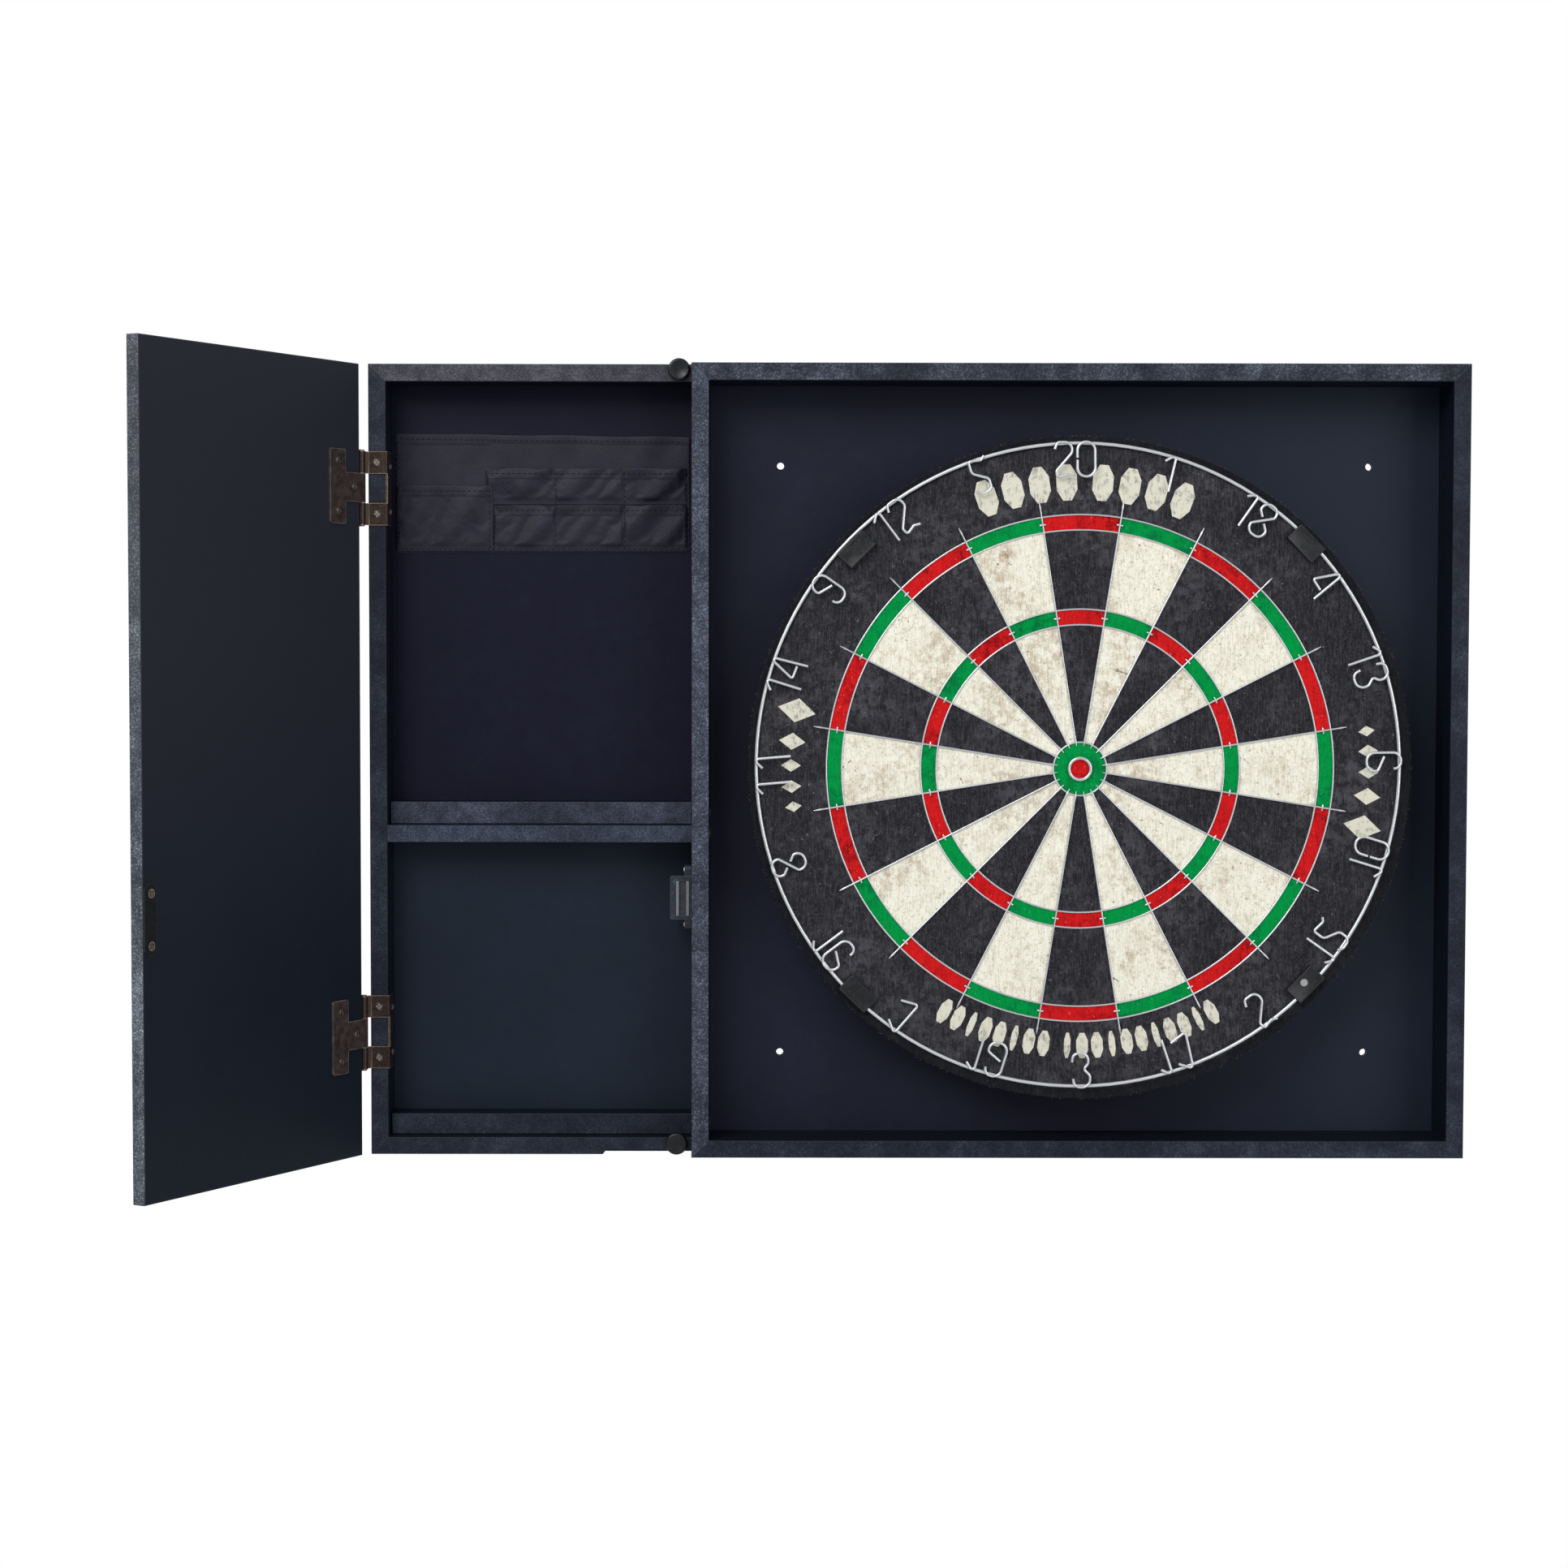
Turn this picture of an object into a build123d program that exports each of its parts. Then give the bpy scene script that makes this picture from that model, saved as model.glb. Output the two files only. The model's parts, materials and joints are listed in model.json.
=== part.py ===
from build123d import *
import os
from math import sin, cos, radians

# Wall-hung dartboard cabinet: a square surround that carries the board, and a narrow storage box with
# one door on its left side.  Millimetres.  X runs to the right, Z up, and the room lies towards -Y.
# The wall is the plane Y = 0, and the origin is the middle of the four wall holes.

# ---- driving dimensions: the two boxes ----
WALL_T = 12.0             # thickness of every box wall and of the shelf
EASE = 0.8                # rounding of the front arrises
SURROUND_W = 527.0
SURROUND_H = 540.0
SURROUND_D = 50.0
SURROUND_PANEL_T = 6.0
STORAGE_W = 220.0
STORAGE_D = 36.0
STORAGE_PANEL_T = 3.0
WALL_HOLE_PITCH = 406.4   # 16 inch stud spacing, both ways
WALL_HOLE_R = 2.5
SHELF_TOP = -43.5
LEDGE_SETBACK = 12.0
LEDGE_END_GAP = 1.0
SHELF_LEDGE_H = 15.5
FLOOR_LEDGE_H = 14.5
FINGER_LENGTH = 62.0      # finger recess under the bottom rail
FINGER_HEIGHT = 3.5
FINGER_DEPTH = 14.0

# ---- driving dimensions: the door and its hinges ----
DOOR_W = 217.5
DOOR_H = 538.0
DOOR_T = 10.0
DOOR_GAP = 4.0            # between the closed door and the storage box
DOOR_OPEN = 120.0         # how far the door stands open at rest, degrees
LEAF_T = 1.2
BARREL_R = 2.9
PIN_R = 1.5
PIN_CLEARANCE = 0.06
HINGE_Z = 185.5
HINGE_H = 50.0
KNUCKLE_H = 15.0
HINGE_PLAY = 0.3
PIVOT_OUT = 4.0           # pin axis, outwards from the side of the storage box
WRAP_D = 18.2             # how far the frame leaf wraps along the inside of the stile
STEM_W = 16.4
T_BAR_W = 16.2

# ---- driving dimensions: catch, strike and bumpers ----
CATCH_Z = -93.0
CATCH_BODY = (14.7, 16.0, 29.6)
CATCH_FLANGE = (5.0, 12.0, 44.0)
CATCH_PROUD = 2.0         # how far the catch stands in front of the box
CATCH_SCREW_Y = -31.0
CATCH_SCREW_SHIFT = 18.4
CATCH_POLE_T = 1.5
CATCH_POLE_H = 23.4
CATCH_POLE_PROUD = 0.7
CATCH_MAGNET_T = 5.3
CATCH_MAGNET_DEPTH = 13.0
STRIKE_Z = -91.5
STRIKE_W = 11.5
STRIKE_H = 45.4
STRIKE_T = 1.0
STRIKE_CORNER = 3.4
BUMPER_R = 7.5
BUMPER_T = 3.6
BUMPER_PLACES = ((-272.2, 266.4), (-274.0, -262.3))

# ---- driving dimensions: the fabric organizer ----
FABRIC_T = 1.2
POCKET_T = 2.5
ORGANIZER_X = (-469.0, -266.0)
ORGANIZER_Z = (143.0, 225.0)
BIG_POCKET_RIGHT = -401.5
BIG_POCKET_TOP = 189.0
POCKET_ROW_TOP = 201.0
POCKET_ROW_SPLIT = 175.5

# ---- driving dimensions: the dartboard ----
BOARD_R = 225.5
BOARD_T = 38.0
BOARD_PROUD = 1.0         # how far the face stands in front of the surround
BOARD_X = 0.0
BOARD_Z = -4.0
BAND_T = 1.0
BACKING_T = 6.0
DYED_T = 4.0
DOUBLE_OUT = 172.0
DOUBLE_IN = 161.6
TREBLE_OUT = 108.2
TREBLE_IN = 97.6
OUTER_BULL_R = 18.1
INNER_BULL_R = 7.3
BULL_WIRE_R = 1.1
SPIDER_W = 1.3            # width of the spider's rings and blades
SPIDER_RING_T = 0.8
SPIDER_BLADE_H = 1.0
RADIAL_IN = 16.0          # where the spider's blades start and end
RADIAL_OUT = 183.0
TIE_LENGTH = 4.6
SECTORS = 20
SECTOR = 360.0 / SECTORS

# ---- driving dimensions: number ring and clips ----
HOOP_R = 218.0
HOOP_WIRE_R = 1.2
HOOP_LIFT = 1.7           # wire centre above the face of the board
HOOP_X = BOARD_X - 1.5
HOOP_Z = BOARD_Z + 2.0
NUMERAL_WIRE_R = 0.9
NUMERAL_R = 207.0
CLOSE_DIGITS = 11.6       # between the middles of two digits when the first is a 1
WIDE_DIGITS = 15.0
PAIR_OF_ONES = 17.4        # the same for the two digits of 11
RING_TURN = -0.9           # degrees the ring has slipped round from the sectors
ONE_LEAN = -4.0            # degrees an upright 1 leans back
CLIP_R = 214.8            # the middle of a clip that reaches over the hoop
LOOSE_CLIP_R = 209.7      # the middle of the clip that has slid inside the hoop
CLIP_SEATS = ((45.5, CLIP_R), (133.6, CLIP_R), (223.8, CLIP_R), (314.2, LOOSE_CLIP_R))
CLIP_SIZE = (24.0, 4.3, 13.5)
CLIP_PIN_R = 2.5
CLIP_PIN_SHIFT = 1.8
HOOP_PLAY = 0.35

# ---- driving dimensions: the hanging fittings behind the board ----
HANGER_R = 2.25
HANGER_HEAD_R = 5.0
HANGER_HEAD_T = 2.4
HANGER_DEPTH = 18.0       # how far the hanger screw goes into the board
BRACKET_W = 72.0
BRACKET_WEB_W = 44.0
BRACKET_T = 1.5
BRACKET_RISE = 3.8
BRACKET_BELOW = 30.0
BRACKET_ABOVE = 20.0
BRACKET_KNEE = 3.0
SLOT_PLAY = 0.05
PAD_R = 9.0
PAD_CIRCLE_R = 190.0

# ---- worked-out places ----
HALF_W = SURROUND_W / 2
HALF_H = SURROUND_H / 2
STORAGE_RIGHT = -HALF_W
STORAGE_LEFT = STORAGE_RIGHT - STORAGE_W
STILE_INSIDE = STORAGE_LEFT + WALL_T
STORAGE_FRONT = -STORAGE_D
DOOR_INSIDE = STORAGE_FRONT - DOOR_GAP
DOOR_RIGHT = STORAGE_LEFT + DOOR_W
PIVOT_X = STORAGE_LEFT - PIVOT_OUT
PIVOT_Y = DOOR_INSIDE - (BARREL_R - LEAF_T)
FACE_Y = -SURROUND_D - BOARD_PROUD
BACK_Y = FACE_Y + BOARD_T
PANEL_Y = -SURROUND_PANEL_T
HOOP_Y = FACE_Y - HOOP_LIFT
NUMERAL_Y = HOOP_Y - HOOP_WIRE_R - NUMERAL_WIRE_R - 0.02

nodes = {}


# ---- helpers ----
def block(x0, x1, y0, y1, z0, z1):
    """A box between two corners."""
    middle = Pos((x0 + x1) / 2, (y0 + y1) / 2, (z0 + z1) / 2)
    return middle * Box(abs(x1 - x0), abs(y1 - y0), abs(z1 - z0))


def prism(points, y0, y1):
    """An outline of (x, z) points, extruded from y0 to y1."""
    outline = Polyline(*[(x, y0, z) for x, z in points], close=True)
    return extrude(make_face(outline), amount=y1 - y0, dir=(0, 1, 0))


def section(points, z0, z1):
    """An outline of (x, y) points, extruded from z0 to z1."""
    outline = Polyline(*[(x, y, z0) for x, y in points], close=True)
    return extrude(make_face(outline), amount=z1 - z0, dir=(0, 0, 1))


def disc(x, z, radius, y0, y1):
    """A round bar along Y."""
    return Pos(x, (y0 + y1) / 2, z) * Rot(90, 0, 0) * Cylinder(radius, abs(y1 - y0))


def upright(x, y, radius, z0, z1):
    """A round bar along Z."""
    return Pos(x, y, (z0 + z1) / 2) * Cylinder(radius, z1 - z0)


def eased(part, y, axis):
    """Rounds the arrises that lie in the plane y and run along one axis."""
    edges = part.edges().filter_by(axis).filter_by_position(Axis.Y, y - 0.01, y + 0.01)
    return fillet(edges, EASE)


def less(part, tools):
    """A part with pockets cut for what is let into it."""
    for tool in tools:
        part = part - tool
    return part


def keep(name, *solids):
    """Stores a node made of one or more separate solids."""
    loose = [solid for piece in solids for solid in piece.solids()]
    nodes[name] = loose[0] if len(loose) == 1 else Compound(children=loose)


def cross_screw(head_r, head_h, shank_r, length):
    """A dome-headed wood screw with a cross recess, and the plain shape of its hole.

    The head points along +Z from the origin.
    """
    head = Cylinder(head_r, head_h, align=(Align.CENTER, Align.CENTER, Align.MIN))
    head = fillet(head.edges().group_by(Axis.Z)[-1], head_h * 0.55)
    hole = head + Cylinder(shank_r, length, align=(Align.CENTER, Align.CENTER, Align.MAX))
    slot = Pos(0, 0, head_h) * Box(head_r * 1.15, head_r * 0.28, head_h * 0.9)
    return hole - slot - Rot(0, 0, 90) * slot, hole


def flat_screw(head_r, head_h, shank_r, length):
    """A countersunk wood screw with a cross recess, and its hole; the flat head lies in the XY plane."""
    sink = Cone(shank_r, head_r, head_h, align=(Align.CENTER, Align.CENTER, Align.MAX))
    hole = sink + Cylinder(shank_r, length, align=(Align.CENTER, Align.CENTER, Align.MAX))
    slot = Box(head_r * 1.15, head_r * 0.28, head_h * 1.0)
    return hole - slot - Rot(0, 0, 90) * slot, hole


TO_ROOM = Rot(90, 0, 0)
TO_RIGHT = Rot(0, 90, 0)
TO_LEFT = Rot(0, -90, 0)
TO_BOX = Rot(-90, 0, 0)


def driven(kind, turn, places):
    """Screws of one kind with their heads turned one way, and the holes they make."""
    screw, hole = kind
    spots = [Pos(*place) * turn for place in places]
    return [spot * screw for spot in spots], [spot * hole for spot in spots]


# ---- the screws of the carcase, made first because the wood is drilled for them ----
leaf_screw = cross_screw(2.8, 1.1, PIN_R, 11.0)
short_screw = cross_screw(2.4, 0.9, 1.3, 9.0)
joining_screw = flat_screw(4.0, 2.6, 1.75, 32.0)
bracket_screw = cross_screw(3.4, 1.8, 1.6, 6.8)

leaf_front = STORAGE_FRONT - LEAF_T
stile_middle = STORAGE_LEFT + WALL_T / 2
shelf_middle = SHELF_TOP - WALL_T / 2
tab_places, wrap_places = [], []
for hinge_z in (HINGE_Z, -HINGE_Z):
    for side in (1, -1):
        tab_places.append((stile_middle, leaf_front, hinge_z + side * (HINGE_H - KNUCKLE_H) / 2))
        wrap_places.append((STILE_INSIDE + LEAF_T, -23.4, hinge_z + side * 15.5))
tab_screws, tab_holes = driven(leaf_screw, TO_ROOM, tab_places)
wrap_screws, wrap_holes = driven(short_screw, TO_RIGHT, wrap_places)
frame_holes = tab_holes + wrap_holes

# The surround's left stile is screwed to the ends of the shelf and of the two ledges.
joining_x = STORAGE_RIGHT + WALL_T
joining_places = [(joining_x, -27.0, shelf_middle), (joining_x, -12.0, shelf_middle),
                  (joining_x, -13.5, SHELF_TOP + SHELF_LEDGE_H / 2),
                  (joining_x, -13.5, -HALF_H + WALL_T + FLOOR_LEDGE_H / 2)]
joining_screws, joining_holes = driven(joining_screw, TO_RIGHT, joining_places)

catch_flange_x = STORAGE_RIGHT - CATCH_FLANGE[0]
catch_places = [(catch_flange_x, CATCH_SCREW_Y, CATCH_Z + side * CATCH_SCREW_SHIFT) for side in (1, -1)]
catch_screws, catch_holes = driven(short_screw, TO_LEFT, catch_places)

bracket_places = [(x, PANEL_Y - BRACKET_T, BOARD_Z + z) for x in (-30.0, 30.0) for z in (-22.0, 12.0)]
bracket_screws, bracket_holes = driven(bracket_screw, TO_ROOM, bracket_places)

keep("frame_leaf_screws", *tab_screws, *wrap_screws)
keep("joining_screws", *joining_screws)
keep("catch_screws", *catch_screws)
keep("bracket_screws", *bracket_screws)


# ---- the surround: four mitred walls and a back panel ----
def mitred_walls(left, right, half_h, depth, sides):
    """Walls of a box with mitred corners, eased along their front arrises."""
    inner_l, inner_r, inner_h = left + WALL_T, right - WALL_T, half_h - WALL_T
    outlines = {
        "top": [(left, half_h), (right, half_h), (inner_r, inner_h), (inner_l, inner_h)],
        "bottom": [(left, -half_h), (right, -half_h), (inner_r, -inner_h), (inner_l, -inner_h)],
        "left": [(left, half_h), (inner_l, inner_h), (inner_l, -inner_h), (left, -half_h)],
        "right": [(right, half_h), (inner_r, inner_h), (inner_r, -inner_h), (right, -half_h)],
    }
    walls = {}
    for side in sides:
        axis = Axis.X if side in ("top", "bottom") else Axis.Z
        walls[side] = eased(prism(outlines[side], -depth, 0), -depth, axis)
    return walls


surround = mitred_walls(-HALF_W, HALF_W, HALF_H, SURROUND_D, ("top", "bottom", "left", "right"))
keep("surround_top_rail", surround["top"])
keep("surround_bottom_rail", surround["bottom"])
keep("surround_left_stile", less(surround["left"], joining_holes + catch_holes))
keep("surround_right_stile", surround["right"])

surround_panel = block(-HALF_W + WALL_T, HALF_W - WALL_T, PANEL_Y, 0, -HALF_H + WALL_T, HALF_H - WALL_T)
for hole_x in (-WALL_HOLE_PITCH / 2, WALL_HOLE_PITCH / 2):
    for hole_z in (-WALL_HOLE_PITCH / 2, WALL_HOLE_PITCH / 2):
        surround_panel -= disc(hole_x, hole_z, WALL_HOLE_R, PANEL_Y - 1, 1)
keep("surround_back_panel", less(surround_panel, bracket_holes))


# ---- the storage box: it butts against the left stile of the surround ----
def storage_rail(sign):
    """Top (+1) or bottom (-1) rail, mitred at the left and square at the right."""
    outer, inner = sign * HALF_H, sign * (HALF_H - WALL_T)
    corners = [(STORAGE_LEFT, outer), (STORAGE_RIGHT, outer), (STORAGE_RIGHT, inner), (STILE_INSIDE, inner)]
    return eased(prism(corners, STORAGE_FRONT, 0), STORAGE_FRONT, Axis.X)


storage_panel_y = -STORAGE_PANEL_T
shelf_bottom = SHELF_TOP - WALL_T
finger_left = STORAGE_RIGHT - FINGER_LENGTH
finger_points = [
    (finger_left, -HALF_H - 1),
    (finger_left + 3.5, -HALF_H + FINGER_HEIGHT),
    (STORAGE_RIGHT + 1, -HALF_H + FINGER_HEIGHT),
    (STORAGE_RIGHT + 1, -HALF_H - 1),
]
finger_recess = prism(finger_points, STORAGE_FRONT - 1, STORAGE_FRONT + FINGER_DEPTH)
storage_stile = mitred_walls(STORAGE_LEFT, STORAGE_RIGHT, HALF_H, STORAGE_D, ("left",))["left"]
keep("storage_top_rail", storage_rail(1))
keep("storage_bottom_rail", storage_rail(-1) - finger_recess)
keep("storage_left_stile", less(storage_stile, frame_holes))
storage_panel = block(STILE_INSIDE, STORAGE_RIGHT, storage_panel_y, 0, -HALF_H + WALL_T, HALF_H - WALL_T)
keep("storage_back_panel", storage_panel)

shelf = block(STILE_INSIDE, STORAGE_RIGHT, STORAGE_FRONT, storage_panel_y, shelf_bottom, SHELF_TOP)
keep("storage_shelf", less(eased(shelf, STORAGE_FRONT, Axis.X), joining_holes))


def ledge(z0, height):
    """A batten that stands on a shelf, set back from the front."""
    front = STORAGE_FRONT + LEDGE_SETBACK
    batten = block(STILE_INSIDE + LEDGE_END_GAP, STORAGE_RIGHT - LEDGE_END_GAP,
                   front, storage_panel_y, z0, z0 + height)
    return less(eased(batten, front, Axis.X), joining_holes)


keep("shelf_ledge", ledge(SHELF_TOP, SHELF_LEDGE_H))
keep("floor_ledge", ledge(-HALF_H + WALL_T, FLOOR_LEDGE_H))


# ---- the fabric organizer on the back of the upper compartment ----
fabric_y = storage_panel_y - FABRIC_T
keep("organizer_backing", block(*ORGANIZER_X, fabric_y, storage_panel_y, *ORGANIZER_Z))
pocket_foot = ORGANIZER_Z[0] + 1.0
pocket_left = BIG_POCKET_RIGHT + 0.5
pocket_right = ORGANIZER_X[1] - 1.5
keep("organizer_large_pocket", block(ORGANIZER_X[0] + 1.0, BIG_POCKET_RIGHT, fabric_y - POCKET_T,
                                     fabric_y, pocket_foot, BIG_POCKET_TOP))
keep("organizer_upper_pockets", block(pocket_left, pocket_right, fabric_y - POCKET_T, fabric_y,
                                      POCKET_ROW_SPLIT + 0.5, POCKET_ROW_TOP))
keep("organizer_lower_pockets", block(pocket_left, pocket_right, fabric_y - POCKET_T, fabric_y,
                                      pocket_foot, POCKET_ROW_SPLIT))


# ---- magnetic catch on the right-hand wall of the storage box ----
catch_front = STORAGE_FRONT - CATCH_PROUD
body_x, body_y, body_z = CATCH_BODY
flange_x, flange_y, flange_z = CATCH_FLANGE
catch_left = STORAGE_RIGHT - body_x
catch_body = block(catch_left, STORAGE_RIGHT, catch_front, catch_front + body_y,
                   CATCH_Z - body_z / 2, CATCH_Z + body_z / 2)
catch_body = fillet(catch_body.edges().filter_by(Axis.Y), 0.8)
catch_base = block(catch_flange_x, STORAGE_RIGHT, CATCH_SCREW_Y - flange_y / 2, CATCH_SCREW_Y + flange_y / 2,
                   CATCH_Z - flange_z / 2, CATCH_Z + flange_z / 2)
catch_base = fillet(catch_base.edges().filter_by(Axis.X), 2.5)


def catch_insert(left, thickness, front, back):
    """A plate or magnet let into the catch, as high as the poles."""
    middle = CATCH_Z - 0.5
    return block(left, left + thickness, front, back, middle - CATCH_POLE_H / 2, middle + CATCH_POLE_H / 2)


pole_front = catch_front - CATCH_POLE_PROUD
insert_back = catch_front + CATCH_MAGNET_DEPTH
magnet_left = catch_left + body_x / 2 - CATCH_MAGNET_T / 2 + 1.0
pole_boxes = [catch_insert(left, CATCH_POLE_T, pole_front, insert_back)
              for left in (magnet_left - CATCH_POLE_T, magnet_left + CATCH_MAGNET_T)]
magnet_box = catch_insert(magnet_left, CATCH_MAGNET_T, catch_front + 1.0, insert_back)
window = catch_insert(magnet_left, CATCH_MAGNET_T, catch_front - 1.0, catch_front + 1.0)
catch_slots = []
for _, screw_y, screw_z in catch_places:
    slot = block(catch_flange_x - 1, STORAGE_RIGHT, screw_y - 2, screw_y + 2, screw_z - 1.7, screw_z + 1.7)
    catch_slots.append(fillet(slot.edges().filter_by(Axis.X), 1.65))
keep("catch_housing", less(catch_body + catch_base, catch_slots + pole_boxes + [magnet_box, window]))
keep("catch_magnet", magnet_box)
keep("catch_pole_plates", *pole_boxes)


# ---- rubber bumpers that the closed door lands on ----
def bumper(x, z):
    """A flat round buffer with a rounded rim and a dished face."""
    puck = disc(x, z, BUMPER_R, STORAGE_FRONT - BUMPER_T, STORAGE_FRONT)
    puck = fillet(puck.edges().filter_by(GeomType.CIRCLE).group_by(Axis.Y)[0], 1.4)
    dish_r = 22.0
    return puck - Pos(x, STORAGE_FRONT - BUMPER_T - dish_r + 0.8, z) * Sphere(dish_r)


keep("door_bumpers", *[bumper(x, z) for x, z in BUMPER_PLACES])


# ---- hinges: half-wrap frame leaves, T-shaped door leaves and loose pins ----
def frame_leaf(hinge_z):
    """Two tabs with knuckles on the face of the stile, joined by a plate along its inside."""
    plate_x = STILE_INSIDE + LEAF_T
    half = HINGE_H / 2
    leaf = block(STILE_INSIDE, plate_x, STORAGE_FRONT, STORAGE_FRONT + WRAP_D, hinge_z - half, hinge_z + half)
    leaf = fillet(leaf.edges().filter_by(Axis.X).group_by(Axis.Y)[-1], 3.0)
    for sign in (1, -1):
        outer = hinge_z + sign * half
        inner = outer - sign * KNUCKLE_H
        z0, z1 = min(outer, inner), max(outer, inner)
        ramp_x = STORAGE_LEFT + 0.9
        ramp = section([(PIVOT_X, PIVOT_Y + BARREL_R), (PIVOT_X, PIVOT_Y + BARREL_R - LEAF_T),
                        (ramp_x, leaf_front), (ramp_x, STORAGE_FRONT), (ramp_x - 1.3, STORAGE_FRONT)], z0, z1)
        flat = block(ramp_x, plate_x, leaf_front, STORAGE_FRONT, z0, z1)
        corner = flat.edges().filter_by(Axis.Z).group_by(Axis.Y)[0].sort_by(Axis.X)[-1]
        flat = fillet(corner, LEAF_T * 0.8)
        barrel = upright(PIVOT_X, PIVOT_Y, BARREL_R, z0, z1)
        leaf = leaf + ramp + flat + barrel
    leaf -= upright(PIVOT_X, PIVOT_Y, PIN_R, hinge_z - half - 1, hinge_z + half + 1)
    return less(leaf, frame_holes)


def door_leaf(hinge_z):
    """A T-shaped plate on the inside of the door, rolled into the middle knuckle."""
    stem_half = HINGE_H / 2 - KNUCKLE_H - HINGE_PLAY
    bar_x = STORAGE_LEFT + STEM_W
    stem = block(PIVOT_X, bar_x + 1, DOOR_INSIDE, DOOR_INSIDE + LEAF_T,
                 hinge_z - stem_half, hinge_z + stem_half)
    bar = block(bar_x, bar_x + T_BAR_W, DOOR_INSIDE, DOOR_INSIDE + LEAF_T,
                hinge_z - HINGE_H / 2, hinge_z + HINGE_H / 2)
    bar = fillet(bar.edges().filter_by(Axis.Y), 1.6)
    barrel = upright(PIVOT_X, PIVOT_Y, BARREL_R, hinge_z - stem_half, hinge_z + stem_half)
    bore = upright(PIVOT_X, PIVOT_Y, PIN_R + PIN_CLEARANCE, hinge_z - HINGE_H, hinge_z + HINGE_H)
    return less(stem + bar + barrel - bore, door_holes)


def hinge_pin(hinge_z):
    """A pin with a small flat head at each end."""
    half = HINGE_H / 2
    shaft = upright(PIVOT_X, PIVOT_Y, PIN_R, hinge_z - half, hinge_z + half)
    heads = [upright(PIVOT_X, PIVOT_Y, 2.1, hinge_z + half, hinge_z + half + 0.9),
             upright(PIVOT_X, PIVOT_Y, 2.1, hinge_z - half - 0.9, hinge_z - half)]
    return shaft + heads[0] + heads[1]


keep("upper_frame_leaf", frame_leaf(HINGE_Z))
keep("lower_frame_leaf", frame_leaf(-HINGE_Z))
keep("hinge_pins", hinge_pin(HINGE_Z), hinge_pin(-HINGE_Z))


# ---- the door, drawn closed and then swung open about the hinge pins ----
def swung(part):
    """Swings a piece of the door from closed to its resting place."""
    return Pos(PIVOT_X, PIVOT_Y, 0) * Rot(0, 0, -DOOR_OPEN) * Pos(-PIVOT_X, -PIVOT_Y, 0) * part


door_leaf_screw = cross_screw(2.8, 1.1, PIN_R, 8.5)
strike_screw = flat_screw(2.8, 1.2, 1.3, 8.0)
door_places = []
for hinge_z in (HINGE_Z, -HINGE_Z):
    door_places.append((STORAGE_LEFT + 7.2, DOOR_INSIDE + LEAF_T, hinge_z))
    door_places.append((STORAGE_LEFT + 24.0, DOOR_INSIDE + LEAF_T, hinge_z + 16.7))
    door_places.append((STORAGE_LEFT + 24.0, DOOR_INSIDE + LEAF_T, hinge_z - 16.7))
door_screws, door_holes = driven(door_leaf_screw, TO_BOX, door_places)
strike_left = DOOR_RIGHT - STRIKE_W - 0.5
strike_places = [(strike_left + 4.9, DOOR_INSIDE + STRIKE_T, STRIKE_Z + side * 16.4) for side in (1, -1)]
strike_screws, strike_holes = driven(strike_screw, TO_BOX, strike_places)

door_panel = block(STORAGE_LEFT, DOOR_RIGHT, DOOR_INSIDE - DOOR_T, DOOR_INSIDE, -DOOR_H / 2, DOOR_H / 2)
long_edges = door_panel.edges().filter_by(Axis.Z) + door_panel.edges().filter_by(Axis.X)
door_panel = fillet(long_edges, EASE)
strike = block(strike_left, strike_left + STRIKE_W, DOOR_INSIDE, DOOR_INSIDE + STRIKE_T,
               STRIKE_Z - STRIKE_H / 2, STRIKE_Z + STRIKE_H / 2)
strike = chamfer(strike.edges().filter_by(Axis.Y), STRIKE_CORNER)

keep("door_panel", swung(less(door_panel, door_holes + strike_holes)))
keep("upper_door_leaf", swung(door_leaf(HINGE_Z)))
keep("lower_door_leaf", swung(door_leaf(-HINGE_Z)))
keep("door_leaf_screws", *[swung(screw) for screw in door_screws])
keep("strike_plate", swung(less(strike, strike_holes)))
keep("strike_screws", *[swung(screw) for screw in strike_screws])


# ---- the dartboard ----
def on_board(radius, angle, y):
    """A point on the board: the angle runs clockwise from the top, in degrees."""
    return (BOARD_X + radius * sin(radians(angle)), y, BOARD_Z + radius * cos(radians(angle)))


def annulus(outer, inner, y0, y1):
    """A flat ring about the middle of the board."""
    return disc(BOARD_X, BOARD_Z, outer, y0, y1) - disc(BOARD_X, BOARD_Z, inner, y0 - 1, y1 + 1)


def bed(inner, outer, index):
    """One dyed bed of a sector, between two radii."""
    start, middle, end = (index - 0.5) * SECTOR, index * SECTOR, (index + 0.5) * SECTOR
    outline = [
        Line(on_board(inner, start, FACE_Y), on_board(outer, start, FACE_Y)),
        ThreePointArc(on_board(outer, start, FACE_Y), on_board(outer, middle, FACE_Y),
                      on_board(outer, end, FACE_Y)),
        Line(on_board(outer, end, FACE_Y), on_board(inner, end, FACE_Y)),
        ThreePointArc(on_board(inner, end, FACE_Y), on_board(inner, middle, FACE_Y),
                      on_board(inner, start, FACE_Y)),
    ]
    return extrude(make_face(Wire(outline)), amount=DYED_T, dir=(0, 1, 0))


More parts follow.
